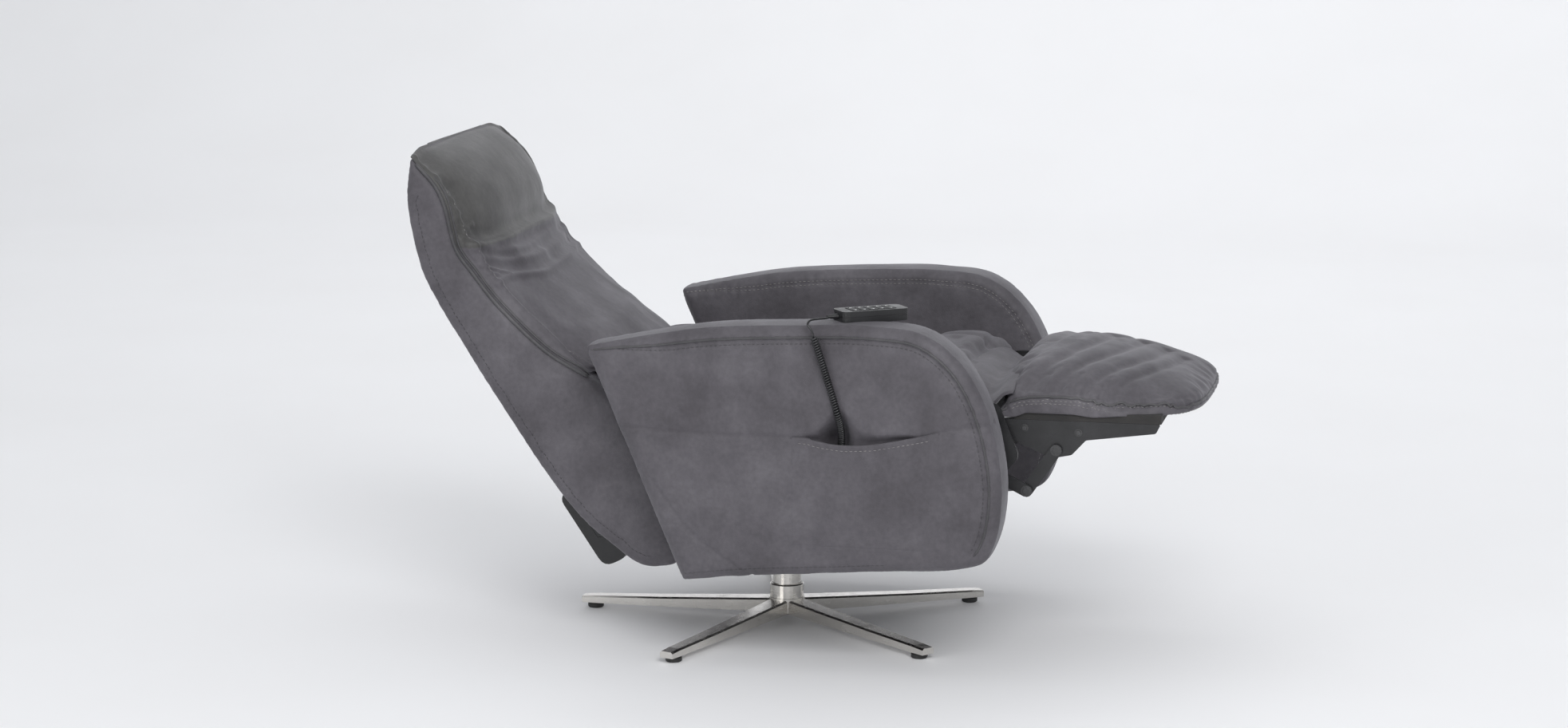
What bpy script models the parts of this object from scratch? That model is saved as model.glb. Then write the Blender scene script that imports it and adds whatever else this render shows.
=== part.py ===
"""A powered reclining armchair on a five-arm swivel base, in metres with +Z up.

The chair faces -Y, so forward along the seat is -Y, and the occupant's right hand is at -X.
Side outlines are lists of (forward, up) points, with forward counted from the swivel column.
"""

import math

import bmesh
import bpy
from mathutils import Matrix, Vector

# Overall sizes
CHAIR_WIDTH = 0.762
ARM_LENGTH = 0.715
ARM_HEIGHT = 0.600
ARM_THICKNESS = 0.098
ARM_REAR = -0.268
ARM_HEM = 0.152
SWIVEL_Y = 0.073
BACK_SCALE = 1.0

# Clearances
TOUCH_GAP = 0.0003
SIDE_GAP = 0.011
HOLE_GAP = 0.0006

# Five-arm base, column and bearing
BASE_ARMS = 5
BASE_TURN = math.radians(15.8)
BASE_TIP_RADIUS = 0.385
FOOT_RING_RADIUS = 0.362
FOOT_RADIUS = 0.0145
FOOT_HEIGHT = 0.0095
BASE_TIP_THICKNESS = 0.0135
BASE_HUB_THICKNESS = 0.026
BASE_HUB_TOP = 0.042
BASE_TIP_WIDTH = 0.026
BASE_ROOT_WIDTH = 0.038
HUB_RADIUS = 0.033
COLUMN_RADIUS = 0.0255
COLUMN_WALL = 0.004
COLUMN_TOP = 0.196
COLLAR_WALL = 0.0052
COLLAR_HEIGHT = 0.0255
SPINDLE_RADIUS = 0.0185
SPINDLE_BOTTOM = 0.080
SWIVEL_PLATE_BOTTOM = 0.205
SWIVEL_PLATE_THICKNESS = 0.008
SWIVEL_PLATE_HALF_WIDTH = 0.150
SWIVEL_PLATE_REACH = (-0.060, 0.205)

# Sheet-steel mechanism: layers of plates lie side by side across the chair
PLATE = 0.004
LAYER_PITCH = 0.006
SIDE_PLATE_TO_ARM = 0.0145
BOSS_RADIUS = 0.016
PIN_RADIUS = 0.0055
TUBE_RADIUS = 0.011
BAR_HALF_WIDTH = 0.0105
CROSSBAR_SIDE = 0.030
CROSSBAR_PLACES = (-0.015, 0.165)

# Hinge axes, as (forward, up)
LEGREST_PIVOT = (0.395, 0.445)
BACK_PIVOT = (-0.181, 0.413)
NECK_OFFSET = (-0.372, 0.252)
STRUT_PIVOT_OFFSET = (0.128, -0.063)
LOWER_PIVOT_OFFSET = (-0.049, -0.071)

# Seat
SEAT_TILT = math.radians(7.0)
DECK_UNDERSIDE = 0.3555
DECK_THICKNESS = 0.012
DECK_REACH = (-0.100, 0.325)
SEAT_FRONT = 0.372
SEAT_CUSHION_THICKNESS = 0.094
SEAT_CHAMFER = (0.046, 0.030)

# Legrest
LEGREST_BOARD_REACH = (0.450, 0.700)
LEGREST_BOARD_BOTTOM = 0.4325
LEGREST_BOARD_THICKNESS = 0.015
LEGREST_NOSE = 0.765
LEGREST_REAR = 0.425
LEGREST_CROWN = 0.072
LEGREST_SIDE_GAP = 0.027
LEVER_LENGTH = 0.075
LEVER_START = math.radians(-39.0)
LEVER_PLACE = 0.070
LEVER_HALF_WIDTH = 0.0095

# Back
BACK_WALL = 0.015
BACK_SIDE_WALL = 0.0175
BACK_CUSHION_INSET = 0.010
BACK_LEVER_LENGTH = 0.120
BACK_LEVER_START = math.radians(10.0)
BACK_LEVER_PLACE = -0.070
NECK_CUT_DIRECTION = math.radians(26.8)
NECK_FRONT_RELIEF = math.radians(9.5)
NECK_REAR_RELIEF = math.radians(27.0)
NECK_GAP = 0.002
HEADREST_PLATE = 0.005

# Actuators
ROD_RADIUS = 0.006
SLEEVE_RADIUS = 0.015
SLEEVE_END = 0.012
YOKE_THICKNESS = 0.008
YOKE_HALF_LENGTH = 0.0245
YOKE_HALF_WIDTH = 0.014
YOKE_SLOT_HALF = 0.0168
YOKE_SLOT_HALF_WIDTH = 0.0075
LEVER_PIN_RADIUS = 0.004

# Battery pack, on the lower rear of the back
BATTERY_FOOT_OFFSET = (-0.137, -0.175)
BATTERY_SLOPE = math.radians(-56.2)
BATTERY_HALF_WIDTH = 0.130
BATTERY_ALONG = (-0.045, 0.120)
BATTERY_DEPTH = 0.047
DOCK_ALONG = (-0.036, 0.080)
DOCK_DEPTH = 0.014
LATCH_TRAVEL = 0.0025

# Handset
HANDSET_CENTRE = (0.0825, 0.211)
HANDSET_TURN = math.radians(35.6)
HANDSET_LENGTH = 0.122
HANDSET_WIDTH = 0.050
HANDSET_LOWER = 0.0105
HANDSET_UPPER = 0.0100
HANDSET_CORNER = 0.012
ROCKER_COUNT = 5
ROCKER_PITCH = 0.0165
ROCKER_LENGTH = 0.0145
ROCKER_WIDTH = 0.034
ROCKER_THICKNESS = 0.0032
ROCKER_WELL_DEPTH = 0.0046
ROCKER_PROUD = 0.0008
ROCKER_GAP = 0.0008

# Curly handset lead
CORD_RADIUS = 0.0018
CURL_RADIUS = 0.0065
GROMMET_RADIUS = 0.008
GROMMET_HEIGHT = 0.008

# Side pocket of the right arm
POCKET_REACH = (0.100, 0.330)
POCKET_FLOOR = 0.235
POCKET_CEILING = 0.470
POCKET_DEPTH = 0.030
OUTER_PAD = 0.0157

# Shapes of the soft outlines: (share of length, share of height) for the arm
ARM_SHAPE = (
    (0.000, 0.886), (0.270, 0.969), (0.560, 0.998), (0.690, 1.000), (0.813, 0.975),
    (0.908, 0.857), (0.971, 0.661), (1.000, 0.400), (0.978, 0.172), (0.912, 0.098),
    (0.674, 0.065), (0.403, 0.033), (0.235, 0.000),
)
# (forward, up) from the back's hinge, top to bottom
BACK_REAR = (
    (-0.435, 0.454), (-0.437, 0.399), (-0.436, 0.350), (-0.420, 0.271), (-0.400, 0.216),
    (-0.344, 0.122), (-0.245, -0.029), (-0.145, -0.166), (-0.067, -0.233), (-0.017, -0.264),
    (0.035, -0.262),
)
BACK_SEAM = (
    (0.056, -0.245), (0.021, -0.163), (-0.009, -0.094), (-0.040, -0.030), (-0.062, 0.022),
    (-0.112, 0.066),
)
BACK_WELT = (
    (-0.112, 0.066), (-0.188, 0.108), (-0.270, 0.182), (-0.319, 0.241), (-0.350, 0.285),
    (-0.368, 0.355), (-0.385, 0.392), (-0.411, 0.426), (-0.4345, 0.4535),
)
BACK_FRONT = (
    (-0.404, 0.459), (-0.354, 0.439), (-0.309, 0.393), (-0.285, 0.350), (-0.274, 0.311),
    (-0.259, 0.287), (-0.226, 0.255), (-0.170, 0.215), (-0.112, 0.177), (-0.053, 0.139),
    (0.010, 0.096), (0.028, 0.066),
)
POST_LINE = (
    (0.000, 0.000), (-0.085, 0.012), (-0.175, 0.062), (-0.262, 0.138), (-0.325, 0.206),
    (-0.372, 0.252),
)
# Seam across the right arm's outer face: (forward, upper pad's edge, flap's edge)
POCKET_SEAM = (
    (-0.300, 0.4190, 0.4184), (-0.035, 0.4096, 0.4090), (0.105, 0.4106, 0.4100),
    (0.130, 0.4400, 0.4060), (0.175, 0.4680, 0.4000), (0.230, 0.4690, 0.4030),
    (0.300, 0.4480, 0.4170), (0.350, 0.4296, 0.4290), (0.480, 0.4456, 0.4450),
)
# Route of the curly lead, chosen by hand: (beyond the arm's outer face, forward, up)
CURL_ROUTE = (
    (-0.031, 0.150, 0.2440), (-0.031, 0.153, 0.280), (-0.031, 0.160, 0.325),
    (-0.031, 0.168, 0.365), (-0.025, 0.173, 0.398), (-0.009, 0.175, 0.427),
    (0.0068, 0.172, 0.455), (0.008, 0.164, 0.484), (0.008, 0.155, 0.512),
    (0.008, 0.146, 0.541), (0.008, 0.138, 0.565), (0.0078, 0.132, 0.584),
)
LEAD_ROUTE = (
    (0.0077, 0.1316, 0.5855), (0.0075, 0.1270, 0.5960), (0.006, 0.1210, 0.6045),
    (-0.002, 0.1240, 0.6105), (-0.015, 0.1330, 0.6110), (-0.0265, 0.1420, 0.6105),
    (-0.03365, 0.14705, 0.6105),
)
# The arm height for which that route is drawn
ROUTE_ARM_HEIGHT = 0.600
ROUTE_BEND = 0.584

# A pad's fullness across its half width: (share of the half width, share of the full thickness)
CROWN = (
    (0.00, 1.00), (0.35, 0.97), (0.60, 0.87), (0.80, 0.68), (0.93, 0.44), (1.00, 0.22),
)
BACK_FULLNESS = 0.64
PAD_STEPS = 24

ARM_OUTER = CHAIR_WIDTH / 2
ARM_INNER = ARM_OUTER - ARM_THICKNESS
SIDE_PLATE_X = ARM_INNER - SIDE_PLATE_TO_ARM - PLATE
LOWER_LINK_X = SIDE_PLATE_X - LAYER_PITCH
STRUT_X = LOWER_LINK_X - LAYER_PITCH
BRACKET_X = STRUT_X - LAYER_PITCH
HEAD_ARM_X = BRACKET_X - LAYER_PITCH
BACK_HALF_WIDTH = ARM_INNER - SIDE_GAP
SEAT_HALF_WIDTH = BRACKET_X - 0.002
LEGREST_HALF_WIDTH = ARM_INNER - LEGREST_SIDE_GAP
FULL_TURN = 2 * math.pi


# --- scene, groups and materials -------------------------------------------------------------


def clear_scene():
    for old in list(bpy.data.objects):
        bpy.data.objects.remove(old, do_unlink=True)


def make_group(name, parent, across, forward, up):
    """An empty on a joint's axis, which carries the pieces that move about it."""
    group = bpy.data.objects.new(name, None)
    group.empty_display_size = 0.04
    bpy.context.scene.collection.objects.link(group)
    place = Vector((across, SWIVEL_Y - forward, up))
    if parent is not None:
        group.parent = parent
        place -= world_place(parent)
    group.location = place
    return group


def world_place(group):
    place = Vector((0, 0, 0))
    while group is not None:
        place += group.location
        group = group.parent
    return place


def finish(name, colour, roughness, metallic):
    made = bpy.data.materials.new(name)
    made.use_nodes = True
    shader = made.node_tree.nodes["Principled BSDF"]
    shader.inputs["Base Color"].default_value = (*colour, 1.0)
    shader.inputs["Roughness"].default_value = roughness
    shader.inputs["Metallic"].default_value = metallic
    return made


def add_mesh(name, shape, material, group, smooth=False):
    """Turns a bmesh in world space into an object of the group."""
    bmesh.ops.recalc_face_normals(shape, faces=shape.faces[:])
    mesh = bpy.data.meshes.new(name)
    shape.to_mesh(mesh)
    shape.free()
    if group is not None:
        mesh.transform(Matrix.Translation(-world_place(group)))
    if smooth:
        mesh.shade_smooth()
        mesh.set_sharp_from_angle(angle=math.radians(35))
    made = bpy.data.objects.new(name, mesh)
    bpy.context.scene.collection.objects.link(made)
    made.parent = group
    if material is not None:
        mesh.materials.append(material)
    return made


def combine(target, helper, operation):
    """A Boolean with a hidden helper. The helper keeps its world place."""
    helper.hide_render = True
    helper.display_type = "WIRE"
    modifier = target.modifiers.new(operation.lower(), "BOOLEAN")
    modifier.operation = operation
    modifier.solver = "EXACT"
    modifier.object = helper


# --- outlines --------------------------------------------------------------------------------


def smooth_line(keys, steps=3):
    """A curve through every key, a Catmull-Rom spline, for keys with any number of values."""
    line = []
    last = len(keys) - 1
    for index in range(last):
        before = keys[max(index - 1, 0)]
        start = keys[index]
        end = keys[index + 1]
        after = keys[min(index + 2, last)]
        for step in range(steps):
            share = step / steps
            line.append(tuple(
                0.5 * (2 * s + (e - b) * share + (2 * b - 5 * s + 4 * e - a) * share ** 2
                       + (3 * s - b - 3 * e + a) * share ** 3)
                for b, s, e, a in zip(before, start, end, after)
            ))
    line.append(tuple(keys[-1]))
    return line


def offset_line(points, distance):
    """The points moved sideways, to the left of their direction of travel."""
    moved = []
    for index, (forward, up) in enumerate(points):
        before = points[max(index - 1, 0)]
        after = points[min(index + 1, len(points) - 1)]
        run = after[0] - before[0]
        rise = after[1] - before[1]
        length = math.hypot(run, rise)
        moved.append((forward - rise / length * distance, up + run / length * distance))
    return moved


def clipped(outline, point, direction):
    """The part of a closed outline to the left of a line through a point."""
    def side(spot):
        return (math.cos(direction) * (spot[1] - point[1])
                - math.sin(direction) * (spot[0] - point[0]))

    kept = []
    for index, spot in enumerate(outline):
        following = outline[(index + 1) % len(outline)]
        here = side(spot)
        there = side(following)
        if here >= 0:
            kept.append(spot)
        if here * there < 0:
            share = here / (here - there)
            kept.append(tuple(s + (f - s) * share for s, f in zip(spot, following)))
    return kept


def rounded(corners, steps=4):
    """A closed outline whose corners, (forward, up, radius), are arcs."""
    outline = []
    for index, (forward, up, radius) in enumerate(corners):
        corner = Vector((forward, up))
        before = Vector(corners[index - 1][:2]) - corner
        after = Vector(corners[(index + 1) % len(corners)][:2]) - corner
        half = before.angle(after) / 2
        reach = min(radius / math.tan(half), 0.49 * before.length, 0.49 * after.length)
        start = corner + before.normalized() * reach
        end = corner + after.normalized() * reach
        for step in range(steps + 1):
            share = step / steps
            spot = start * (1 - share) ** 2 + corner * 2 * share * (1 - share) + end * share ** 2
            outline.append((spot.x, spot.y))
    return outline


def bar_outline(start, end, half_width, steps=6):
    """A flat bar with round ends about two pivots."""
    heading = math.atan2(end[1] - start[1], end[0] - start[0])
    outline = []
    for centre, turn in ((start, heading + math.pi / 2), (end, heading - math.pi / 2)):
        for step in range(steps + 1):
            angle = turn + math.pi * step / steps
            outline.append((centre[0] + half_width * math.cos(angle),
                            centre[1] + half_width * math.sin(angle)))
    return outline


def circle(centre, radius, segments=16):
    return [(centre[0] + radius * math.cos(FULL_TURN * step / segments),
             centre[1] + radius * math.sin(FULL_TURN * step / segments))
            for step in range(segments)]


def turned_by(offset, angle):
    return (offset[0] * math.cos(angle) - offset[1] * math.sin(angle),
            offset[0] * math.sin(angle) + offset[1] * math.cos(angle))


def plus(point, offset):
    return (point[0] + offset[0], point[1] + offset[1])


# --- solids ----------------------------------------------------------------------------------


def prism(name, outline, x_low, x_high, material, group, holes=()):
    """A side outline, with any holes, carried across the chair from x_low to x_high."""
    shape = bmesh.new()
    edges = []
    for loop in (outline, *holes):
        ring = [shape.verts.new((x_low, SWIVEL_Y - forward, up)) for forward, up in loop]
        edges += [shape.edges.new((ring[i - 1], ring[i])) for i in range(len(ring))]
    bmesh.ops.triangle_fill(shape, use_beauty=True, use_dissolve=False, edges=edges)
    grown = bmesh.ops.extrude_face_region(shape, geom=shape.faces[:])
    fresh = [item for item in grown["geom"] if isinstance(item, bmesh.types.BMVert)]
    bmesh.ops.translate(shape, verts=fresh, vec=(x_high - x_low, 0, 0))
    return add_mesh(name, shape, material, group)


def sided_prism(name, outline, side, inner, outer, material, group, holes=()):
    """A prism on one side of the chair: side is -1 for the right, 1 for the left."""
    low, high = sorted((side * inner, side * outer))
    return prism(name, outline, low, high, material, group, holes)


def turned(name, profile, centre, material, group, segments=32, closed=False, axis="Z"):
    """A profile of (radius, height) points turned about an axis through a world point."""
    shape = bmesh.new()
    rings = []
    for radius, height in profile:
        count = segments if radius > 0 else 1
        rings.append([
            shape.verts.new((radius * math.cos(FULL_TURN * step / segments),
                             radius * math.sin(FULL_TURN * step / segments), height))
            for step in range(count)
        ])
    if closed:
        rings.append(rings[0])
    for lower, upper in zip(rings, rings[1:]):
        for step in range(segments):
            after = (step + 1) % segments
            corners = [lower[step % len(lower)], lower[after % len(lower)],
                       upper[after % len(upper)], upper[step % len(upper)]]
            face = list(dict.fromkeys(corners))
            if len(face) > 2:
                shape.faces.new(face)
    turn = Matrix.Identity(4)
    if axis == "X":
        turn = Matrix.Rotation(math.pi / 2, 4, "Y")
    bmesh.ops.transform(shape, matrix=Matrix.Translation(centre) @ turn, verts=shape.verts[:])
    return add_mesh(name, shape, material, group, smooth=True)


def cross_rod(name, pivot, x_low, x_high, radius, material, group, segments=16):
    """A round bar across the chair."""
    profile = ((0, x_low), (radius, x_low), (radius, x_high), (0, x_high))
    centre = Vector((0, SWIVEL_Y - pivot[0], pivot[1]))
    return turned(name, profile, centre, material, group, segments, axis="X")


def stub_pin(target, pivot, side, inner, outer, radius):
    """Welds a short pin to a plate."""
    low, high = sorted((side * inner, side * outer))
    helper = cross_rod(target.name + "_pin", pivot, low, high, radius, None, target.parent)
    combine(target, helper, "UNION")


def resampled(line, count):
    """Points at even distances along a line."""
    lengths = [0.0]
    for start, end in zip(line, line[1:]):
        lengths.append(lengths[-1] + math.dist(start, end))
    points = []
    place = 0
    for index in range(count):
        target = lengths[-1] * index / (count - 1)
        while place < len(line) - 2 and lengths[place + 1] < target:
            place += 1
        share = (target - lengths[place]) / (lengths[place + 1] - lengths[place])
        points.append(tuple(s + (e - s) * share for s, e in zip(line[place], line[place + 1])))
    return points


def crowned_pad(name, base, face, half_width, material, group, nose=0.0):
    """A pad from a base line to its face, full in the middle and thin along both sides.

    The face draws back by the nose, at the pad's sides, towards the face line's last point.
    """
    base = resampled(base, PAD_STEPS)
    face = resampled(face, PAD_STEPS)
    places = [(-across, share) for across, share in reversed(CROWN)] + list(CROWN[1:])
    shape = bmesh.new()
    rings = []
    for across, share in places:
        upper = [tuple(b + (f - b) * share for b, f in zip(*pair)) for pair in zip(base, face)]
        loop = []
        for forward, up in base + upper[::-1]:
            draw = nose * abs(across) ** 3
            reach = (forward - base[0][0]) / (face[-1][0] - base[0][0])
            loop.append((forward - draw * reach ** 2, up))
        rings.append([shape.verts.new((across * half_width, SWIVEL_Y - forward, up))
                      for forward, up in loop])
    for ring, following in zip(rings, rings[1:]):
        for index in range(len(ring)):
            shape.faces.new((ring[index - 1], ring[index], following[index],
                             following[index - 1]))
    shape.faces.new(rings[0])
    shape.faces.new(rings[-1])
    return add_mesh(name, shape, material, group)


def block(name, x_reach, forward_reach, up_reach, material, group):
    outline = [(forward_reach[0], up_reach[0]), (forward_reach[1], up_reach[0]),
               (forward_reach[1], up_reach[1]), (forward_reach[0], up_reach[1])]
    return prism(name, outline, x_reach[0], x_reach[1], material, group)


def tube_along(name, route, radius, material, group, resolution=2):
    """A round cord through (across, forward, up) points, as a curve with filled caps."""
    curve = bpy.data.curves.new(name, "CURVE")
    curve.dimensions = "3D"
    curve.bevel_depth = radius
    curve.bevel_resolution = resolution
    curve.use_fill_caps = True
    spline = curve.splines.new("POLY")
    spline.points.add(len(route) - 1)
    origin = world_place(group)
    for point, (across, forward, up) in zip(spline.points, route):
        point.co = (*(Vector((across, SWIVEL_Y - forward, up)) - origin), 1)
    made = bpy.data.objects.new(name, curve)
    bpy.context.scene.collection.objects.link(made)
    made.parent = group
    curve.materials.append(material)
    return made


# --- base ------------------------------------------------------------------------------------


def base_arm(name, angle, group):
    """One tapered arm of the star, with bevelled top edges."""
    shape = bmesh.new()
    hub_under = BASE_HUB_TOP - BASE_HUB_THICKNESS
    tip_top = FOOT_HEIGHT + TOUCH_GAP + BASE_TIP_THICKNESS
    stations = ((0.0, 0.0), (0.25, 0.30), (0.62, 0.72), (0.94, 1.0), (1.0, 1.0))
    rings = []
    for reach, drop in stations:
        radius = BASE_TIP_RADIUS * reach
        half = (BASE_ROOT_WIDTH + (BASE_TIP_WIDTH - BASE_ROOT_WIDTH) * reach) / 2
        top = BASE_HUB_TOP + (tip_top - BASE_HUB_TOP) * drop
        under = hub_under + (FOOT_HEIGHT + TOUCH_GAP - hub_under) * min(1.0, drop)
        if reach == 1.0:
            top -= 0.002
        edge = 0.003
        section = ((-half, under), (half, under), (half, top - edge), (half - edge, top),
                   (-half + edge, top), (-half, top - edge))
        rings.append([shape.verts.new((radius, across, up)) for across, up in section])
    for inner, outer in zip(rings, rings[1:]):
        for index in range(len(inner)):
            shape.faces.new((inner[index - 1], inner[index], outer[index], outer[index - 1]))
    shape.faces.new(rings[0])
    shape.faces.new(rings[-1])
    place = Matrix.Translation((0, SWIVEL_Y, 0)) @ Matrix.Rotation(angle, 4, "Z")
    bmesh.ops.transform(shape, matrix=place, verts=shape.verts[:])
    return add_mesh(name, shape, None, group)


def make_base(group, steel, rubber):
    centre = Vector((0, SWIVEL_Y, 0))
    under = BASE_HUB_TOP - BASE_HUB_THICKNESS - 0.002
    top = BASE_HUB_TOP + 0.0005
    hub = turned(
        "base_star",
        ((0, under), (HUB_RADIUS - 0.003, under), (HUB_RADIUS, under + 0.003),
         (HUB_RADIUS, top), (0, top)),
        centre, steel, group)
    for index in range(BASE_ARMS):
        angle = BASE_TURN + FULL_TURN * index / BASE_ARMS
        combine(hub, base_arm(f"base_arm_shape_{index + 1}", angle, group), "UNION")
        foot_place = centre + Vector((math.cos(angle), math.sin(angle), 0)) * FOOT_RING_RADIUS
        turned(
            f"base_foot_{index + 1}",
            ((0, 0), (FOOT_RADIUS - 0.002, 0), (FOOT_RADIUS, 0.002),
             (FOOT_RADIUS, FOOT_HEIGHT - 0.002), (FOOT_RADIUS - 0.003, FOOT_HEIGHT),
             (0, FOOT_HEIGHT)),
            foot_place, rubber, group, segments=20)
    seat = top + TOUCH_GAP
    bore = COLUMN_RADIUS - COLUMN_WALL
    turned("column_tube",
           ((bore, seat), (COLUMN_RADIUS, seat), (COLUMN_RADIUS, COLUMN_TOP), (bore, COLUMN_TOP)),
           centre, steel, group, closed=True)
    ring_in = COLUMN_RADIUS + TOUCH_GAP
    ring_out = COLUMN_RADIUS + COLLAR_WALL
    turned("column_collar",
           ((ring_in, seat), (ring_out, seat), (ring_out, seat + COLLAR_HEIGHT - 0.002),
            (ring_out - 0.002, seat + COLLAR_HEIGHT), (ring_in, seat + COLLAR_HEIGHT)),
           centre, steel, group, closed=True)


# --- seat unit -------------------------------------------------------------------------------


def arm_outline():
    height = ARM_HEIGHT - ARM_HEM
    keys = [(ARM_REAR + ARM_LENGTH * along, ARM_HEM + height * share)
            for along, share in ARM_SHAPE]
    return smooth_line(keys)


def arm_top_at(forward):
    """The height of the arm's top at a place along it."""
    line = arm_outline()
    for start, end in zip(line, line[1:]):
        if start[0] <= forward <= end[0]:
            share = (forward - start[0]) / (end[0] - start[0])
            return start[1] + (end[1] - start[1]) * share
    return ARM_HEIGHT


def make_swivel(group, steel):
    centre = Vector((0, SWIVEL_Y, 0))
    top = SWIVEL_PLATE_BOTTOM - TOUCH_GAP
    turned("swivel_spindle",
           ((0, SPINDLE_BOTTOM), (SPINDLE_RADIUS, SPINDLE_BOTTOM), (SPINDLE_RADIUS, COLUMN_TOP),
            (SPINDLE_RADIUS + 0.012, COLUMN_TOP + 0.004), (SPINDLE_RADIUS + 0.012, top), (0, top)),
           centre, steel, group)
    plate_top = SWIVEL_PLATE_BOTTOM + SWIVEL_PLATE_THICKNESS
    block("swivel_plate", (-SWIVEL_PLATE_HALF_WIDTH, SWIVEL_PLATE_HALF_WIDTH),
          SWIVEL_PLATE_REACH, (SWIVEL_PLATE_BOTTOM, plate_top), steel, group)
    bar_low = plate_top + TOUCH_GAP
    reach = SIDE_PLATE_X - TOUCH_GAP
    for word, forward in zip(("rear", "front"), CROSSBAR_PLACES):
        block(f"crossbar_{word}", (-reach, reach),
              (forward, forward + CROSSBAR_SIDE), (bar_low, bar_low + CROSSBAR_SIDE),
              steel, group)
    return bar_low + CROSSBAR_SIDE


def make_side_plate(side, word, group, steel):
    lower_pivot = plus(LEGREST_PIVOT, LOWER_PIVOT_OFFSET)
    bar_low = SWIVEL_PLATE_BOTTOM + SWIVEL_PLATE_THICKNESS
    corners = (
        (BACK_PIVOT[0] - 0.022, BACK_PIVOT[1] + 0.006, 0.02),
        (BACK_PIVOT[0] - 0.006, BACK_PIVOT[1] - 0.024, 0.02),
        (CROSSBAR_PLACES[0] - 0.030, bar_low - 0.002, 0.03),
        (CROSSBAR_PLACES[1] + CROSSBAR_SIDE + 0.070, bar_low - 0.002, 0.05),
        (lower_pivot[0] + 0.064, lower_pivot[1] - 0.062, 0.04),
        (LEGREST_PIVOT[0] + 0.068, LEGREST_PIVOT[1] - 0.075, 0.02),
        (LEGREST_PIVOT[0] + 0.030, LEGREST_PIVOT[1] + 0.018, 0.02),
        (LEGREST_PIVOT[0] - 0.026, LEGREST_PIVOT[1] + 0.016, 0.02),
        (LEGREST_PIVOT[0] - 0.075, LEGREST_PIVOT[1] - 0.036, 0.03),
        (0.050, DECK_UNDERSIDE + 0.020, 0.05),
        (BACK_PIVOT[0] + 0.080, DECK_UNDERSIDE + 0.004, 0.03),
        (BACK_PIVOT[0] + 0.016, BACK_PIVOT[1] + 0.018, 0.02),
    )
    plate = sided_prism(f"side_plate_{word}", rounded(corners), side,
                        SIDE_PLATE_X, SIDE_PLATE_X + PLATE, steel, group)
    for pivot, inner in ((LEGREST_PIVOT, BRACKET_X + TOUCH_GAP),
                         (BACK_PIVOT, BRACKET_X + TOUCH_GAP),
                         (lower_pivot, LOWER_LINK_X + TOUCH_GAP)):
        stub_pin(plate, pivot, side, inner, SIDE_PLATE_X + PLATE / 2, PIN_RADIUS)


def deck_height(forward):
    return DECK_UNDERSIDE + forward * math.tan(SEAT_TILT)


def make_seat(group, wood, leather):
    rear, front = DECK_REACH
    deck = [(rear, deck_height(rear)), (front, deck_height(front)),
            (front, deck_height(front) + DECK_THICKNESS),
            (rear, deck_height(rear) + DECK_THICKNESS)]
    reach = SEAT_HALF_WIDTH
    prism("seat_deck", deck, -reach, reach, wood, group)
    lift = DECK_THICKNESS + TOUCH_GAP
    back, rise = SEAT_CHAMFER
    low = [(rear, deck_height(rear) + lift),
           (SEAT_FRONT - back, deck_height(SEAT_FRONT - back) + lift),
           (SEAT_FRONT, deck_height(SEAT_FRONT) + lift + rise)]
    thick = SEAT_CUSHION_THICKNESS
    high = [(SEAT_FRONT, deck_height(SEAT_FRONT) + lift + thick - 0.022),
            (SEAT_FRONT - 0.022, deck_height(SEAT_FRONT - 0.022) + lift + thick),
            (rear + 0.12, deck_height(rear + 0.12) + lift + thick),
            (rear, deck_height(rear) + lift + thick - 0.010)]
    prism("seat_cushion", low + high, -reach, reach, leather, group)


def seam_edges():
    """The upper pad's lower edge and the flap's top edge, which part at the pocket's mouth."""
    line = smooth_line(POCKET_SEAM)
    flap = [(forward, low) for forward, _, low in line]
    pad = [(forward, max(high, low + 2 * TOUCH_GAP)) for forward, high, low in line]
    return pad, flap


def make_arms(group, leather, steel):
    outline = arm_outline()
    outer_face = ARM_OUTER - OUTER_PAD - TOUCH_GAP
    for side, word in ((-1, "right"), (1, "left")):
        body = sided_prism(f"arm_{word}", outline, side, ARM_INNER, outer_face, leather, group)
        if side > 0:
            sided_prism(f"arm_outer_pad_{word}", outline, side, ARM_OUTER - OUTER_PAD,
                        ARM_OUTER, leather, group)
            continue
        hollow = sided_prism(
            "pocket_hollow",
            rounded([(POCKET_REACH[0], POCKET_FLOOR, 0.02), (POCKET_REACH[1], POCKET_FLOOR, 0.02),
                     (POCKET_REACH[1], POCKET_CEILING, 0.02),
                     (POCKET_REACH[0], POCKET_CEILING, 0.02)]),
            side, outer_face - POCKET_DEPTH, outer_face + 0.004, None, group)
        combine(body, hollow, "DIFFERENCE")
        pad_edge, flap_edge = seam_edges()
        pads = (("arm_outer_pad_right", pad_edge, ARM_HEM - 0.1),
                ("arm_pocket_flap", flap_edge, ARM_HEIGHT + 0.1))
        for name, edge, far in pads:
            pad = sided_prism(name, outline, side, ARM_OUTER - OUTER_PAD, ARM_OUTER,
                              leather, group)
            beyond = [(edge[-1][0] + 0.1, edge[-1][1]), (edge[-1][0] + 0.1, far),
                      (edge[0][0] - 0.1, far), (edge[0][0] - 0.1, edge[0][1])]
            cutter = sided_prism(name + "_cutter", edge + beyond, side,
                                 ARM_OUTER - OUTER_PAD - 0.01, ARM_OUTER + 0.01, None, group)
            combine(pad, cutter, "DIFFERENCE")
    for side, word in ((-1, "right"), (1, "left")):
        sided_prism(f"arm_spacer_{word}", rounded(
            [(0.02, 0.240, 0.01), (0.28, 0.240, 0.01), (0.28, 0.300, 0.01), (0.02, 0.300, 0.01)]),
            side, SIDE_PLATE_X + PLATE + TOUCH_GAP, ARM_INNER - TOUCH_GAP, steel, group)


# --- actuators -------------------------------------------------------------------------------


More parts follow.
